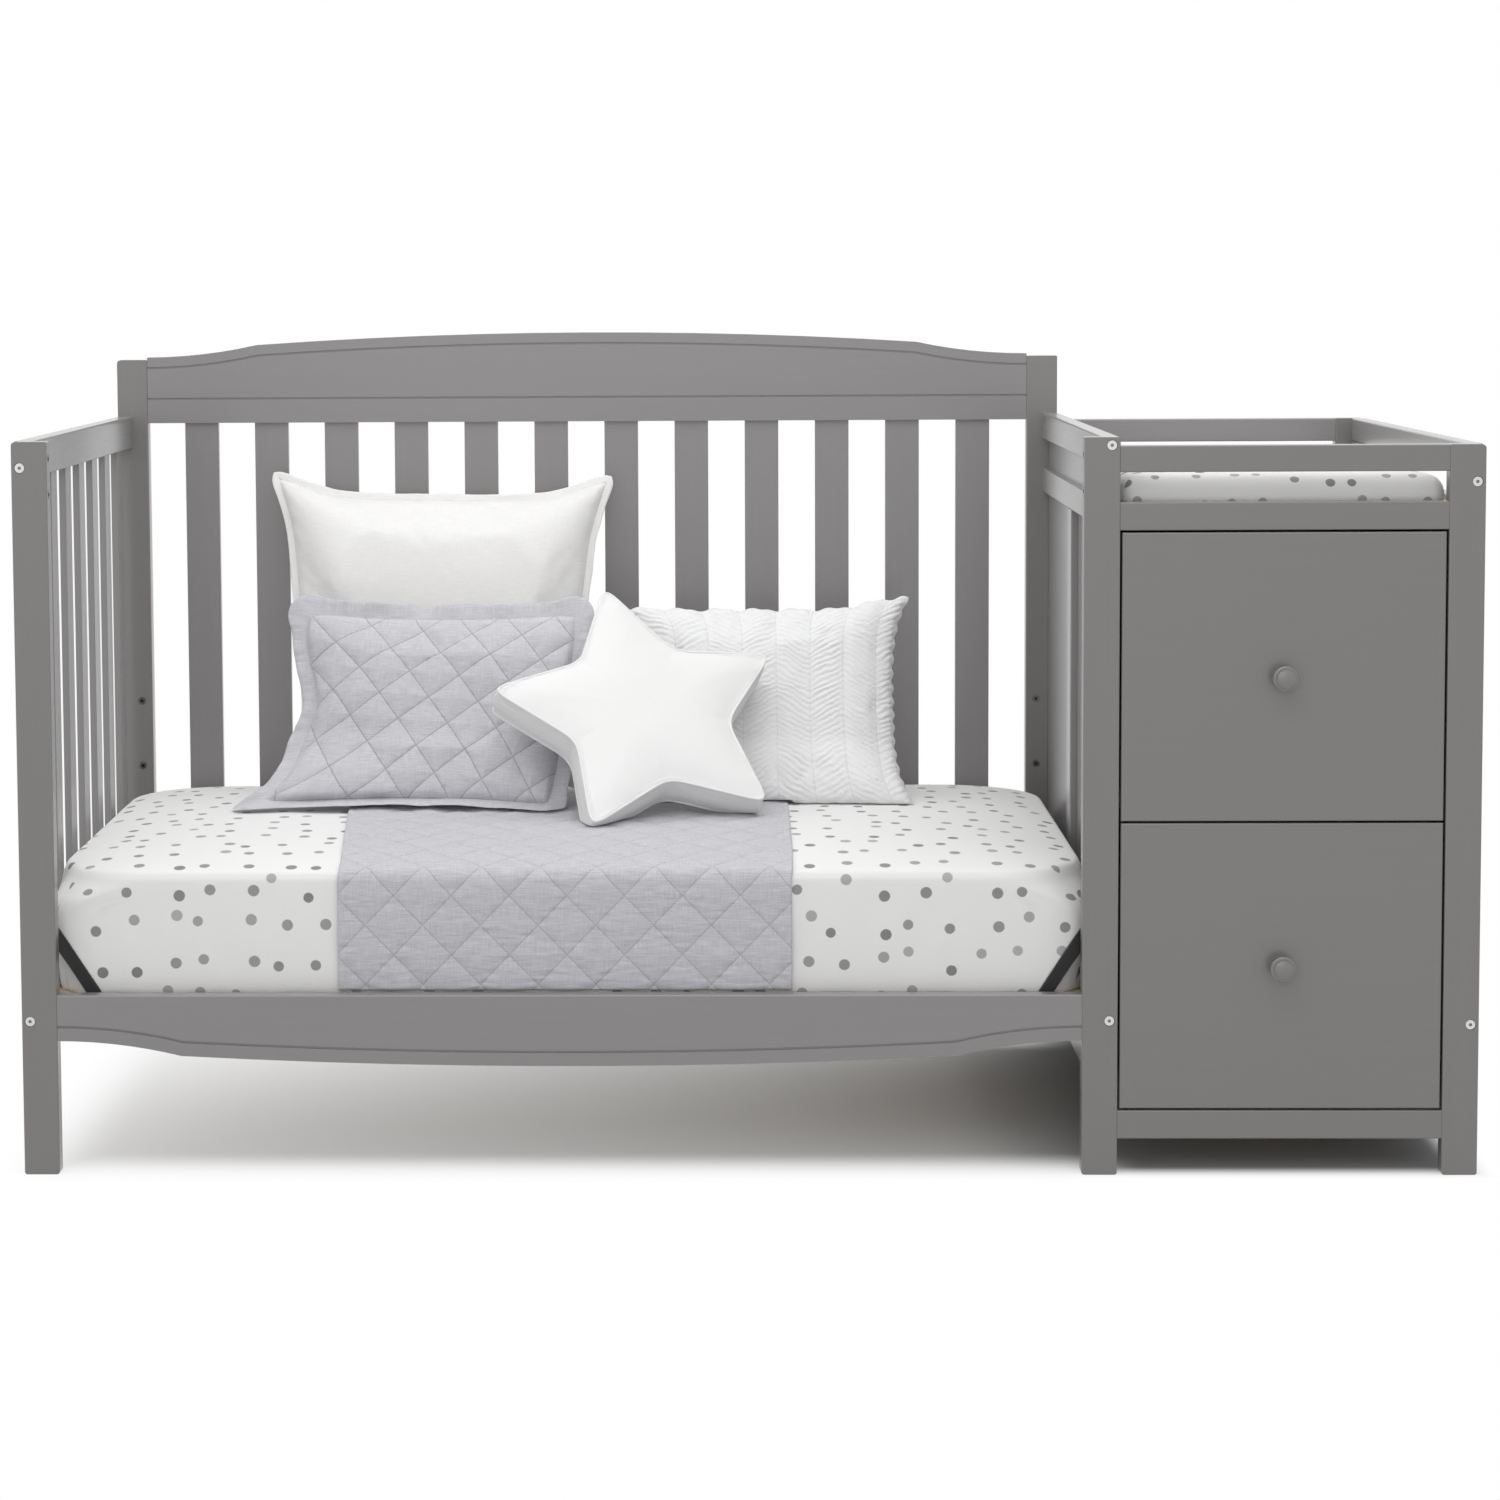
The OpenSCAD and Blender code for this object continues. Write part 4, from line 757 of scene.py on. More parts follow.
def padded_block(size, corner, profile, rounder=0.0, round_z=0.0, tuck=0.0):
    """A block of soft filling in rings: points and cloth places, from the bottom to the top.

    The cloth lies flat on the top and is folded down each side, and meets at the corners.
    From round_z upwards the corners grow rounder by the length rounder, and at the foot by tuck.
    """
    rows = drawn_through(np.array(profile, float), 3)
    rings, cloth = [], []
    run = run_along(rows)
    _, outward = rounded_ring(size[0], size[1], corner)
    sideways = (np.abs(outward[:, 0]) > np.abs(outward[:, 1]))[:, None]
    fold = np.sign(outward) * np.where(sideways, [1, 0], [0, 1])
    for (inset, z), distance in zip(rows, run):
        wide = corner + rounder * float(smooth_step(z, round_z, round_z + ROUNDER_RUN))
        wide += tuck * (1 - float(smooth_step(z, rows[0][1], rows[0][1] + TUCK_RUN)))
        radius = max(wide - inset * corner / wide, wide / 4)
        ring, _ = rounded_ring(size[0] - 2 * inset, size[1] - 2 * inset, radius)
        rings.append(raised(ring, z))
        down = (run[-1] - distance) - (rows[-1][0] - inset)
        cloth.append(ring + fold * down)
    return np.array(rings), np.array(cloth)


def block_part(rings, cloth, flip=False):
    return rings.reshape(-1, 3), capped_faces(rings, flip), cloth.reshape(-1, 2)


def mattress_profile():
    low, edge = mattress_low[2], MATTRESS_EDGE_Z
    sides = [(0.070, low), (0.008, low + 0.0004), (0.002, low + 0.002), (0.0004, low + 0.010),
             (0, low + 0.060), (0, edge - 0.040), (0.0004, edge - 0.010), (0.0018, edge - 0.003),
             (0.006, crown_z(0.006)), (0.015, crown_z(0.015)), (0.028, crown_z(0.028))]
    shares = (0.1, 0.16, 0.24, 0.32, 0.42, 0.54, 0.66, 0.79, 0.9, 1)
    crown = [(share * CROWN_RUN, crown_z(share * CROWN_RUN)) for share in shares]
    return sides + crown + [(MATTRESS_SIZE[1] / 2 - 0.0002, crown_z(CROWN_RUN))]


def add_mattress():
    rings, cloth = padded_block(MATTRESS_SIZE, MATTRESS_CORNER, mattress_profile(),
                                rounder=0.085, round_z=0.326, tuck=0.040)
    normals = grid_normals(rings, closed=True)
    half = MATTRESS_SIZE[:2] / 2
    off = np.maximum(np.abs(rings[..., :2]) - (half - CREASE_REACH), 0)
    reach = np.linalg.norm(off, axis=-1) / CREASE_REACH
    height = rings[..., 2]
    side = smooth_step(height, *CREASE_FOOT) * (1 - smooth_step(height, *CREASE_TOP))
    corner_x, corner_y = (np.abs(rings[..., i]) - half[i] + CREASE_CENTRE for i in (0, 1))
    angle = np.arctan2(corner_y, corner_x)
    places = paired(angle * 0.9 + height * 0.55, height * 0.35)
    creases = value_noise(places, 0.035, 5) * smooth_step(reach, 0.35, 1.0) * side
    rolls = value_noise(cloth, 0.16, 9) * 0.0007 * smooth_step(height, 0.236, 0.26)
    rings = rings + normals * (creases * 0.0016 + rolls)[..., None]
    rings[..., :2] += MATTRESS_MID[:2]
    mattress = add_piece("mattress_and_sheet", [block_part(rings, cloth)], SHEET_COTTON,
                         ["mattress"])


STRAP_CORNER_Z = 0.312
STRAP_SLOPE = 1.55
STRAP_RISE = 0.031
STRAP_T = 0.0016
STRAP_OFF = 0.0007
STRAP_REACH = 0.062
STRAP_COLUMNS = 9


def strap_part(mirror_x, mirror_y):
    """One elastic strap: it crosses a corner of the mattress and runs down both its sides."""
    radius = MATTRESS_CORNER + 0.001
    runs = np.linspace(STRAP_REACH, 0.0, 24, endpoint=False)
    near = [(radius + run, 0.0, 0.0, -1.0) for run in runs]
    for angle in np.linspace(0, math.pi / 2, 18):
        way = (-math.sin(angle), -math.cos(angle))
        near.append((radius + radius * way[0], radius + radius * way[1], *way))
    path = np.array(near + [(0.0, radius + run, -1.0, 0.0) for run in runs[::-1]])
    off_corner = path[:, :2].max(axis=1) + 0.35 * path[:, :2].min(axis=1)
    middle = STRAP_CORNER_Z - STRAP_SLOPE * off_corner
    span = np.linspace(-0.5, 0.5, STRAP_COLUMNS)
    rim = 1 - smooth_step(np.abs(span), 0.40, 0.5)
    floor = mattress_low[2] + 0.0025
    z = np.maximum(middle[:, None] + span * STRAP_RISE, floor + 0.0002 * span)
    grids = []
    for lift in (STRAP_OFF + 0 * rim, 0.0011 + (STRAP_OFF + STRAP_T - 0.0011) * rim):
        plan = path[:, None, :2] + path[:, None, 2:] * lift[:, None]
        grids.append(np.concatenate([plan, z[..., None]], axis=-1))
    keep = grids[0][..., 2].max(axis=1) > floor + 0.001
    inner, outer = (grid[keep] for grid in grids)
    place = paired(run_along(inner[:, STRAP_COLUMNS // 2])[:, None], span * 0.02)
    points, faces, cloth = doubled(inner, outer, place)
    points[:, :2] -= MATTRESS_SIZE[:2] / 2
    points[:, :2] *= (mirror_x, mirror_y)
    points[:, :2] += MATTRESS_MID[:2]
    return points, faces[:, ::-1] if mirror_x * mirror_y > 0 else faces, cloth


def add_straps():
    parts = [strap_part(sx, sy) for sx in (1, -1) for sy in (1, -1)]
    add_piece("corner_straps", parts, WEBBING, ["sheet_straps"])


THROW_BACK_Y = 0.175
THROW_FRONT = mattress_low[1] - 0.001
THROW_LOW_Z = 0.2287
THROW_CLEAR = 0.0006
THROW_SIDE_CLEAR = THROW_CLEAR + 0.0010
THROW_T = 0.005
THROW_BEND_Z = (0.366, 0.392)
THROW_ROWS, THROW_COLUMNS = 330, 270
THROW_LEFT, THROW_RIGHT = -0.511, 0.060


def throw_path():
    """Points of the throw's underside from its back edge down to its hem, and the ways off it."""
    line = [(y, float(bed_z(np.array([MATTRESS_MID[0], y, 0])) + THROW_CLEAR))
            for y in np.linspace(THROW_BACK_Y, mattress_low[1] + 0.03, 60)]
    side = drawn_through(np.array(mattress_profile()), 6)[::-1]
    side = side[(side[:, 0] < 0.028) & (side[:, 1] > THROW_LOW_Z)]
    for (inset, z), (over, down) in zip(side, unit(np.gradient(side, axis=0))):
        y = mattress_low[1] + inset + THROW_SIDE_CLEAR * down
        line.append((y, z - THROW_SIDE_CLEAR * over))
    line = np.array(line + [(line[-1][0], THROW_LOW_Z)])
    run = run_along(line)
    steps = np.linspace(0, run[-1], THROW_ROWS)
    path = np.column_stack([np.interp(steps, run, line[:, i]) for i in (0, 1)])
    for _ in range(3):
        path[1:-1] = (path[:-2] + 2 * path[1:-1] + path[2:]) / 4
    way = np.gradient(path, axis=0)
    off = unit(np.column_stack([way[:, 1], -way[:, 0]]))
    return path, off * np.sign(off[0, 1]), steps


def off_lines(lines, flat):
    """Distance to the nearest stitched line, in metres."""
    counts = [(a * flat[..., 0] + b * flat[..., 1] + offset, gap) for a, b, offset, gap in lines]
    return np.minimum(*[gap * np.abs(count - np.round(count)) for count, gap in counts])


def add_throw():
    path, off, run = throw_path()
    width = THROW_RIGHT - THROW_LEFT
    across = np.linspace(0, 1, THROW_COLUMNS)
    back_share = smooth_step(path[:, 1], *THROW_BEND_Z)
    far = np.clip((path[:, 0] - THROW_FRONT) / 0.40, 0, 1) * back_share
    left = THROW_LEFT - 0.003 * (1 - back_share) - 0.031 * far
    right = THROW_RIGHT - 0.003 * (1 - back_share) + 0.002 * far
    x = left[:, None] + (right - left)[:, None] * across
    flat = paired(THROW_LEFT + width * across, (run[-1] - run)[:, None])
    up = flat[..., 1]
    seam = off_lines(THROW_LINES, flat)
    hem = np.minimum(np.minimum(across, 1 - across) * width, np.minimum(run[-1] - up, up))
    puff = (1 - np.exp(-seam / 0.0045)) * 0.55 + 0.45 * smooth_step(seam, 0, 0.024)
    pucker_place = flat * [0.20, 1]
    pucker = value_noise(pucker_place, 0.0050, 21) + 0.6 * value_noise(pucker_place, 0.0024, 22)
    near = np.exp(-seam / 0.010)
    rolls = value_noise(flat, 0.075, 23)
    hem_line = np.exp(-((hem - 0.009) / 0.0009) ** 2)
    thick = 0.0018 + 0.0026 * puff + 0.0006 * pucker * (0.35 + near) - 0.0007 * hem_line
    thick = thick * np.sqrt(smooth_step(hem, -0.0022, 0.0024))
    thick = np.maximum(thick + 0.0005 * rolls * smooth_step(hem, 0, 0.02), 0.0004)
    curl = 0.0022 * value_noise(flat[..., 1:] * [1, 0], 0.055, 24) * np.exp(-hem / 0.02)
    lift = np.maximum(curl + 0.0006 * rolls, 0)
    layers = []
    for height in (lift, lift + thick):
        yz = path[:, None, :] + off[:, None, :] * height[..., None]
        layers.append(np.concatenate([x[..., None], yz], axis=-1))
    throw = add_piece("quilted_throw_cloth", [doubled(*layers, flat)], THROW_LINEN,
                      ["quilted_throw"])


# ---------- pillows ----------

SLAT_FRONT_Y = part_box("headboard_slats")[0][1]
BED_GAP = 0.0004


def throw_top(points):
    """How far the throw raises the bed under 3-D points."""
    along_x = smooth_step(points[..., 0], THROW_LEFT - 0.022, THROW_LEFT - 0.014)
    along_x *= 1 - smooth_step(points[..., 0], THROW_RIGHT + 0.006, THROW_RIGHT + 0.012)
    along_y = 1 - smooth_step(points[..., 1], THROW_BACK_Y, THROW_BACK_Y + 0.006)
    return (THROW_CLEAR + THROW_T) * along_x * along_y


def settled(points):
    """Points pressed onto the bed and throw below them, and off the headboard's slats."""
    points = points.copy()
    ground = bed_z(points) + throw_top(points) + BED_GAP
    points[..., 2] = ground + pressed(points[..., 2] - ground)
    wall = SLAT_FRONT_Y - 0.001
    points[..., 1] = wall - pressed(wall - points[..., 1])
    return points


def slumped(points, reach, push, tilt):
    """A pillow's points on its own axes, its lower seam pushed forward along the bed."""
    points = points.copy()
    ahead = push * (1 - smooth_step(points[..., 1], 0, reach))
    points[..., 1] -= ahead * math.sin(math.radians(tilt))
    points[..., 2] += ahead * math.cos(math.radians(tilt))
    return points


def flange_part(seam, seam_cloth, width, waves, thick, seed, corner_reach, droop):
    """A flat border of doubled cloth sewn to a pillow's seam. waves is its ruffle's height.

    corner_reach is the share by which its corners are wider, and droop is 1 where its lower side
    turns forward.
    """
    count = len(seam)
    ahead = np.roll(seam, -3, axis=0) - np.roll(seam, 3, axis=0)
    outward = unit(np.column_stack([ahead[:, 1], -ahead[:, 0], np.zeros(count)]))
    outward = unit(softened(outward, 6))
    off_middle = np.abs(seam[:, :2] - seam[:, :2].mean(axis=0))
    corner = smooth_step((off_middle / off_middle.max(axis=0)).min(axis=1), 0.80, 1.0)
    low = smooth_step(-outward[:, 1], 0.4, 0.9) * droop
    run = run_along(seam)
    loop = run / (run[-1] + np.linalg.norm(seam[0] - seam[-1])) * math.tau
    radius = run[-1] / math.tau
    ring = np.column_stack([np.cos(loop), np.sin(loop)]) * radius
    ruffle = value_noise(ring, 0.045, seed) + 0.55 * value_noise(ring, 0.018, seed + 1)
    pleats = 0.22 * value_noise(ring, 0.0065, seed + 3)
    edge = 1 + 0.10 * value_noise(ring, 0.03, seed + 2) + corner_reach * corner
    steps = np.linspace(-0.10, 1, 12)
    way = outward * (1 - 0.45 * low)[:, None]
    way[:, 2] += low * 0.85
    grid = np.empty((len(steps), count, 3))
    for k, step in enumerate(steps):
        out = max(step, 0)
        grid[k] = seam + way * (width * edge * step)[:, None]
        grid[k, :, 2] += waves * (ruffle * out ** 1.3 + pleats * math.sqrt(out))
    shape = np.sqrt(np.clip(1 - (np.clip(steps, 0, 1)) ** 12, 0.02, 1))
    stitch = 1 - 0.45 * np.exp(-((steps - 0.90) / 0.04) ** 2)
    off = -grid_normals(grid, closed=True) * (thick / 2 * shape * stitch)[:, None, None]
    skin = np.concatenate([grid + off, (grid - off)[::-1]])
    index = numbered(skin)
    faces = grid_faces(np.concatenate([index, index[:1]]), closed=True)
    spread = np.concatenate([steps, steps[::-1]]) * width
    cloth = seam_cloth[None] + outward[None, :, :2] * spread[:, None, None]
    return skin.reshape(-1, 3), faces, np.pad(cloth.reshape(-1, 2), ((0, 0), (0, 1)))


def stood(part, at, tilt, turn=0.0):
    """A part stood up: y climbs and leans back by tilt degrees, and z looks forward."""
    place = (Matrix.Translation(at) @ Matrix.Rotation(math.radians(turn), 4, "Z")
             @ Matrix.Rotation(math.radians(90 - tilt), 4, "X"))
    points, faces, cloth = part
    points = points @ np.array(place.to_3x3()).T + np.array(place.translation)
    return settled(points), faces, cloth


PLAIN_AT = Vector((-0.432, 0.219, 0.3876))


def add_plain_pillow():
    """Large square pillow of white linen, slack at its corners, in a cover with a narrow edge."""
    rim = 0.009
    pillow = Pillow(0.496 - 2 * rim, 0.472 - 2 * rim, 0.126, (56, 54), blunt=0.024)
    pillow.fill(frames=24, reach=0.05, pull=(0.12, 0.145))
    pillow.refine(2)
    inner = pillow.edge_fade(0.05)
    gathers = value_noise(pillow.flat, 0.075, 31) * 0.0016
    gathers += value_noise(pillow.flat @ np.array([[0.8, 0.6], [-0.25, 0.33]]), 0.03, 32) * 0.0006
    edge_run = paired(pillow.flat[..., 0] + pillow.flat[..., 1], 0.2 * pillow.edge_fade(0.2))
    puckers = value_noise(edge_run, 0.011, 33) * 0.0011 * (1 - inner) * pillow.edge_fade(0.008)
    pillow.emboss(gathers * inner + puckers)
    for layer in (pillow.front, pillow.back):
        layer[..., 1] += rim
        slump = np.clip(layer[..., 0] / 0.24, 0, 1) * smooth_step(layer[..., 1], 0.20, 0.46)
        layer[..., 1] -= 0.007 * slump
        layer[..., 0] *= 0.89 + 0.11 * smooth_step(layer[..., 1], 0.08, 0.38)
    border = pillow.border(rim, waves=0.0016, thick=0.0028, seed=34, corner_reach=0.15, droop=0)
    parts = [stood(part, PLAIN_AT, 15) for part in (pillow.part(), border)]
    piece = add_piece("plain_pillow_cover", parts, WHITE_LINEN, ["plain_pillow"])


QUILTED_AT = Vector((-0.431, 0.065, 0.3915))
QUILTED_WIDE, QUILTED_TALL = 0.432, 0.304
# Share of the height, where the right edge is there, and how far the left edge spreads
QUILTED_SIDES = np.array([(0.0, 0.190, 0.086), (0.15, 0.194, 0.032), (0.33, 0.200, 0.011),
                          (0.5, 0.205, -0.003), (0.75, 0.212, 0.016), (0.9, 0.216, 0.021),
                          (1.0, 0.219, 0.022)])


def add_quilted_pillow():
    """Pillow in a cover of quilted grey linen with a soft ruffled flange all round."""
    rim = 0.022
    wide, tall = QUILTED_WIDE - 2 * rim, QUILTED_TALL - 2 * rim
    pillow = Pillow(wide, tall, 0.076, (50, 36), blunt=0.03)
    pillow.fill(frames=22, reach=0.035, pull=(0.0, 0.04), keep=0.12)
    pillow.refine(4)
    seam = off_lines(QUILT_LINES, pillow.flat)
    inner = pillow.edge_fade(0.012)
    puff = (1 - np.exp(-seam / 0.004)) * 0.5 + 0.5 * smooth_step(seam, 0, 0.022)
    pucker = value_noise(pillow.flat, 0.0042, 41) + 0.7 * value_noise(pillow.flat, 0.0085, 42)
    drape = value_noise(pillow.flat, 0.06, 43) * 0.0030
    height = 0.0042 * puff - 0.0020 + 0.0008 * pucker * np.exp(-seam / 0.007) + drape
    pillow.emboss(height * inner)
    for layer in (pillow.front, pillow.back):
        layer[..., 1] += rim * 0.75
    border = pillow.border(rim, waves=0.0060, thick=0.0022, seed=44, corner_reach=0.42, droop=1)
    sides = drawn_through(QUILTED_SIDES, 8)
    parts = []
    for points, faces, cloth in (pillow.part(), border):
        right, spread = (np.interp(points[:, 1] / 0.30, sides[:, 0], sides[:, i]) for i in (1, 2))
        across = points[:, 0] / (QUILTED_WIDE / 2)
        points = slumped(points, 0.11, 0.046, 20)
        left = QUILTED_SIDES[0, 1]
        points[:, 0] = (right - left) / 2 + (right + left) / 2 * across
        points[:, 0] -= spread * smooth_step(-across, 0.30, 1.0)
        parts.append(stood((points, faces, cloth), QUILTED_AT, 20, -4))
    piece = add_piece("quilted_pillow_cover", parts, QUILT_LINEN, ["quilted_pillow"])


RUCHED_AT = Vector((0.039, 0.118, 0.3890))
RUCHED_WIDE, RUCHED_TALL = 0.402, 0.290


def add_ruched_pillow():
    """Pillow of white cotton gathered into upright columns, with slanted folds in each."""
    pillow = Pillow(RUCHED_WIDE, RUCHED_TALL, 0.078, (44, 34), blunt=0.015)
    pillow.fill(frames=22, reach=0.035, pull=(0.145, 0.0), keep=0.12)
    pillow.refine(5)
    x, y = pillow.flat[..., 0], pillow.flat[..., 1]
    column = (x - RUCHE_AT) / RUCHE_WIDE
    number = np.floor(column)
    share = column - number
    seam = np.minimum(share, 1 - share) * RUCHE_WIDE
    lean = np.where(number % 2 == 0, RUCHE_LEAN, -RUCHE_LEAN)
    wander = 0.0034 * value_noise(pillow.flat, 0.026, 51)
    wander += 0.0018 * value_noise(pillow.flat, 0.009, 52)
    phase = (y + lean * (share - 0.5) * RUCHE_WIDE + wander) / RUCHE_PITCH
    fold = np.abs(np.sin(phase * math.pi)) ** 0.65
    depth = 0.7 + 0.5 * value_noise(pillow.flat * [1, 1.6], 0.02, 53)
    crown = smooth_step(seam, 0, 0.016)
    inner = pillow.edge_fade(0.010)
    height = 0.0014 * crown + 0.0027 * (fold - 0.5) * depth * (0.55 + 0.45 * crown)
    pillow.emboss(height * inner)
    top = smooth_step(y, 0.10, 0.153)
    ear = smooth_step(x, 0.08, 0.20) * smooth_step(y, 0.0, 0.15)
    tips = smooth_step(RUCHED_WIDE / 2 - np.abs(x), 0, 0.01)
    for layer in (pillow.front, pillow.back):
        layer[..., 1] += (0.0045 * crown - 0.003) * top * tips
        layer[..., 1] += 0.0012 * np.sin(x / 0.0042) * (1 - inner) + 0.016 * ear
        layer[..., 0] += 0.0014 * np.sin(y / 0.0030) * (1 - inner)
    points, faces, cloth = pillow.part()
    parts = [stood((slumped(points, 0.09, 0.038, 25), faces, cloth), RUCHED_AT, 25)]
    piece = add_piece("ruched_pillow_cover", parts, RUCHED_COTTON,
                      ["ruched_pillow"])


STAR_AT = Vector((-0.132, 0.005, 0.5370))
STAR_R, STAR_INNER_R, STAR_T = 0.206, 0.115, 0.046
STAR_PLUMP = 0.013
PIPING_R = 0.0019
# Distance between two rows of points near the seams
STAR_ROW = 0.0042
STAR_ROLL, STAR_TILT, STAR_TURN = 5.6, 43, 16


def star_outline(steps):
    """The star's outline with straight sides, blunt tips and soft inner corners."""
    corners = []
    for k in range(5):
        for angle, radius in ((90 + 72 * k - 36, STAR_INNER_R), (90 + 72 * k, STAR_R + 0.006)):
            angle = math.radians(angle + STAR_ROLL)
            corners.append((radius * math.cos(angle), radius * math.sin(angle)))
    starts = np.array(corners)
    ends = np.roll(starts, -1, axis=0)
    shares = np.linspace(0, 1, steps, endpoint=False)[:, None]
    sides = [start + (end - start) * shares for start, end in zip(starts, ends)]
    return softened(np.concatenate(sides), steps // 3)


def star_face(loop, shares):
    """Rings from the middle of a face out to its seam, plump and smooth over its arms."""
    spacing = 0.010
    rings = [loop * share for share in shares]
    off = [-spacing * np.log(np.exp(-np.linalg.norm(ring[:, None] - loop[None], axis=-1) / spacing)
                             .sum(axis=1)) for ring in rings]
    return [np.column_stack([ring, STAR_PLUMP * (1 - np.exp((off[-1] - here) / 0.026))])
            for ring, here in zip(rings, off)]


def tube_part(loop, radius):
    """A round cord along a closed loop of points, as piping is."""
    way = unit(np.roll(loop, -1, axis=0) - np.roll(loop, 1, axis=0))
    out = loop - loop.mean(axis=0)
    out = unit(out - way * (out * way).sum(axis=1, keepdims=True))
    up = np.cross(way, out)
    turn = np.linspace(0, math.tau, 8, endpoint=False)
    skin = np.stack([loop + radius * (math.cos(a) * out + math.sin(a) * up) for a in turn])
    index = numbered(skin)
    faces = grid_faces(np.concatenate([index, index[:1]]), closed=True)
    cloth = paired(run_along(loop), (turn * radius)[:, None])
    return skin.reshape(-1, 3), faces, cloth.reshape(-1, 2)


def add_star():
    """Star-shaped cushion of white cotton: two faces, a boxing strip between and piped seams."""
    loop = star_outline(16)
    shares = np.linspace(0.03, 1, 17) ** 0.9
    face = star_face(loop, shares)
    across = np.linspace(0, 1, 7)[1:-1]
    strip = [raised(loop * (1 + 0.012 * math.sin(math.pi * t)), -STAR_T * t) for t in across]
    back = [ring * [1, 1, -1] - [0, 0, STAR_T] for ring in face]
    rings = np.stack(face + strip + back[::-1])
    side_cloth = [raised(run_along(loop), 0.3 + STAR_T * t) for t in across]
    cloth = np.stack([loop * s for s in shares] + side_cloth + [loop * s for s in shares[::-1]])
    seam_rows = 3 * np.array([len(face) - 1, len(face) + len(strip)])
    faces = capped_faces(rings, flip=True)
    blown = inflated(rings.reshape(-1, 3), faces, STAR_PRESSURE, frames=20, reach=0.012)
    blown = blown.reshape(rings.shape)
    blown += ((rings.max(axis=(0, 1)) + rings.min(axis=(0, 1)))
              - (blown.max(axis=(0, 1)) + blown.min(axis=(0, 1)))) / 2
    smooth = softened(blown[..., 2], 30, axis=1)
    outer = np.concatenate([shares, np.ones(len(strip)), shares[::-1]])
    near = smooth_step(outer, 0.5, 0.9)[:, None]
    rings[..., 2] += 0.6 * near * (blown[..., 2] - smooth)
    rings[..., :2] += 0.5 * near[..., None] * (blown[..., :2] - rings[..., :2])
    rings, cloth = refined(rings, 3, closed=True), refined(cloth, 3, closed=True)
    piping = [tube_part(rings[row], PIPING_R) for row in seam_rows]
    near = np.abs(np.arange(len(rings))[:, None] - seam_rows).min(axis=1)[:, None] * STAR_ROW
    around = np.arange(rings.shape[1]) / rings.shape[1] * math.tau
    place = paired(np.cos(around) * 0.30 + 0.2 * near, np.sin(around) * 0.30)
    pucker = value_noise(place, 0.0085, 61) * np.exp(-near / 0.007) * smooth_step(near, 0, 0.004)
    drape = value_noise(cloth, 0.045, 62) * 0.0010
    rings = rings - grid_normals(rings, closed=True) * (0.0010 * pucker + drape)[..., None]
    cushion, *cords = [stood(part, STAR_AT, STAR_TILT, STAR_TURN)
                       for part in (block_part(rings, cloth, flip=True), *piping)]
    star = add_piece("star_cushion", [cushion], STAR_COTTON, ["star_pillow"])
    add_piece("star_piping", cords, STAR_COTTON)


# ---------- changing pad ----------


def add_changing_pad():
    low, high = (np.array(corner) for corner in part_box("changing_pad"))
    size, middle, z, tall = high - low, (low + high) / 2, low[2], high[2] - low[2] - 0.001
    profile = [(0.024, z), (0.006, z + 0.0015), (0.0015, z + 0.006), (0, z + 0.012),
               (0.0008, z + tall - 0.021), (0.004, z + tall - 0.013), (0.011, z + tall - 0.006),
               (0.022, z + tall - 0.002), (0.045, z + tall), (0.110, z + tall + 0.001),
               (0.160, z + tall + 0.001), (size[0] / 2 - 0.0002, z + tall + 0.001)]
    rings, cloth = padded_block(size, 0.018, profile)
    rolls = value_noise(cloth, 0.09, 71) * 0.0008 * smooth_step(rings[..., 2], z + 0.004, z + 0.02)
    rings = rings + grid_normals(rings, closed=True) * rolls[..., None]
    rings[..., :2] += middle[:2]
    pad = add_piece("changing_pad_cover", [block_part(rings, cloth * 1.2)], SHEET_COTTON,
                    ["changing_pad"])


# ---------- floor, light ----------

AMBIENT = 0.78
FLOOR_R = 14.0
CRIB_HALF = (0.91, 0.37)
# The floor's colour as the camera sees it under the crib and, darkened as a painted shadow, under
# the chest, and as light does
UNDER_CRIB, PAINTED_CHEST_SHADOW = (0.96, 0.96, 0.96), (0.38, 0.385, 0.40)
BOUNCED = (0.60, 0.60, 0.60)


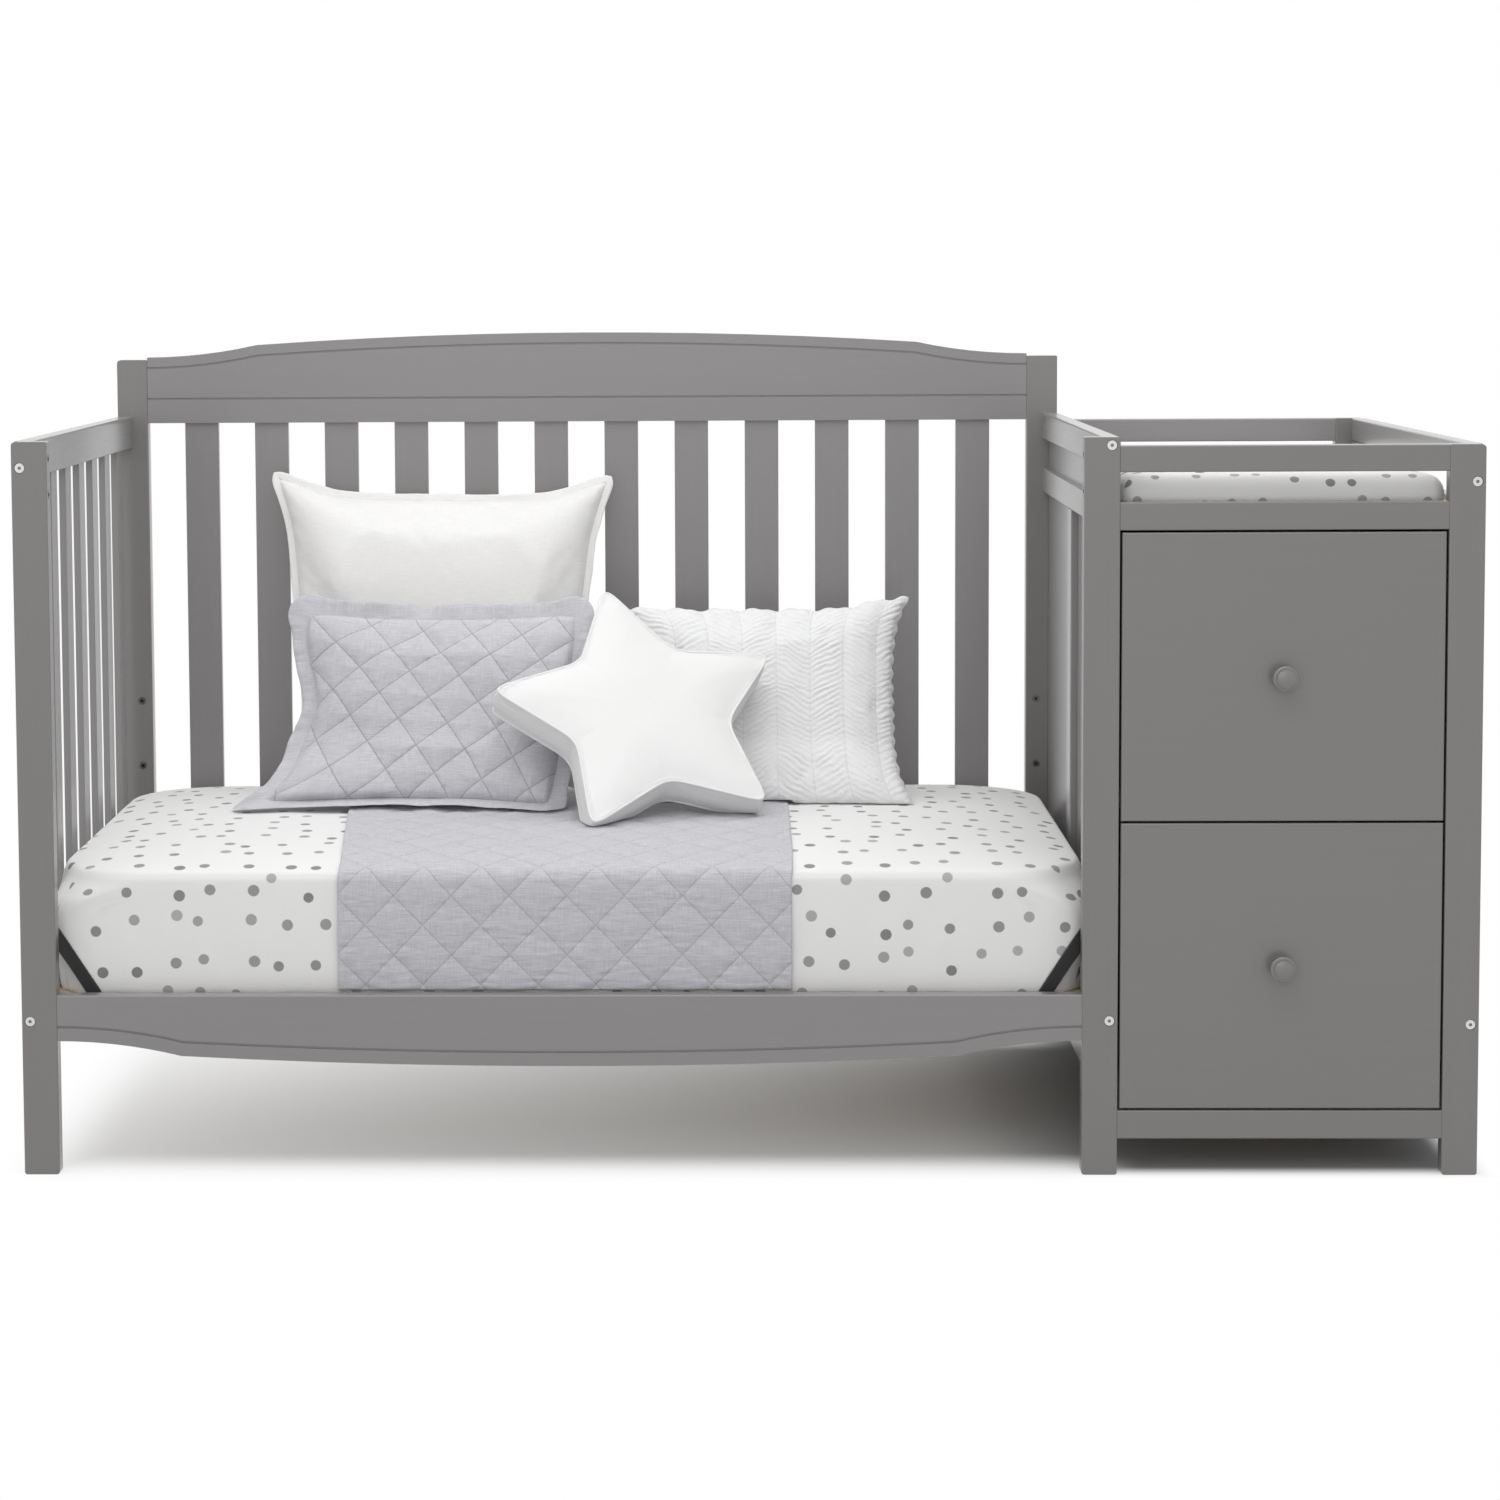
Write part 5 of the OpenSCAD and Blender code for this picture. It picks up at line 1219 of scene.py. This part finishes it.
def add_stage():
    """A pale floor that keeps the shadows near the crib and runs out into a white surround. It has
    a painted shadow under the chest, and a painted glow that lightens the shadow under the crib.
    """
    mesh = bpy.data.meshes.new("floor")
    corners = [(x * FLOOR_R, y * FLOOR_R, 0) for x, y in ((-1, -1), (1, -1), (1, 1), (-1, 1))]
    mesh.from_pydata(corners, [], [(0, 1, 2, 3)])
    floor = bpy.data.objects.new("floor", mesh)
    bpy.context.scene.collection.objects.link(floor)
    finish = Finish("pale_floor", (0.70, 0.70, 0.70), 0.9)
    x, y, _ = finish.along()
    beyond = (x.size() - CRIB_HALF[0]).most((y - 0.01).size() - CRIB_HALF[1])
    chest = x.rise(0.25, 0.52)
    off = finish.between(x.rise(0.40, 0.50), beyond.rise(-0.10, 0.05), beyond.rise(-0.035, 0.03))
    seen = finish.straight_rays()
    # painted shadow: towards and under the chest the camera sees the floor darker
    ground = finish.blend(chest * (1 - off), UNDER_CRIB, PAINTED_CHEST_SHADOW)
    finish.wear(finish.blend(seen, BOUNCED, ground))
    lit = finish.node("Emission", {}, {"Color": (1, 1, 1, 1), "Strength": 1.0})
    # painted glow: under the crib, more towards its left and back, the camera sees the floor
    # partly glowing white, which lightens its shadow
    below = ((0.15 - x * 0.43) * (y * 1.6 + 1)).most(0)
    share = finish.between(off, below, 1.0)
    shaders = {0: share * seen, 1: finish.shader.outputs[0], 2: lit.outputs[0]}
    surface = finish.node("MixShader", {}, shaders)
    finish.node("OutputMaterial", {"is_active_output": True}, {0: surface.outputs[0]})
    mesh.materials.append(finish.material)


def add_world():
    """A white surround, which lights the crib a little less than the camera sees it."""
    bpy.context.scene.world = bpy.data.worlds.new("studio")
    sky = Tree(bpy.context.scene.world)
    skies = {0: sky.straight_rays()}
    for slot, strength in ((1, AMBIENT), (2, 1.0)):
        light = sky.node("Background", {}, {"Color": (1, 1, 1, 1), "Strength": strength})
        skies[slot] = light.outputs[0]
    mix = sky.node("MixShader", {}, skies)
    sky.node("OutputWorld", {}, {"Surface": mix.outputs[0]})


# Each softbox: where it is, its width and height, its power and what it is aimed at
SOFTBOXES = {"overhead": ((0.0, 0.1, 3.2), (4.0, 2.6), 36, (0, 0, 0)),
             "high_front": ((-0.1, -1.4, 2.7), (2.4, 1.0), 14, (0, 0.35, 0.6)),
             "front": ((-0.4, -3.4, 1.7), (2.4, 1.6), 11, (0, 0, 0.6)),
             "left": ((-2.8, -0.7, 1.8), (1.6, 1.6), 5, (0.4, 0, 0.6))}


def add_lights():
    for name, (at, size, power, aim) in SOFTBOXES.items():
        data = bpy.data.lights.new(name, "AREA")
        data.shape = "RECTANGLE"
        data.size, data.size_y = size
        data.energy = power
        lamp = bpy.data.objects.new(name, data)
        turn = (Vector(aim) - Vector(at)).to_track_quat("-Z", "Y").to_matrix().to_4x4()
        lamp.matrix_world = Matrix.Translation(at) @ turn
        bpy.context.scene.collection.objects.link(lamp)


bpy.context.scene.view_settings.view_transform = "Standard"
add_camera()
add_stage()
add_world()
add_lights()
finish_frame()
add_mattress()
add_straps()
add_throw()
add_changing_pad()
add_plain_pillow()
add_quilted_pillow()
add_ruched_pillow()
add_star()
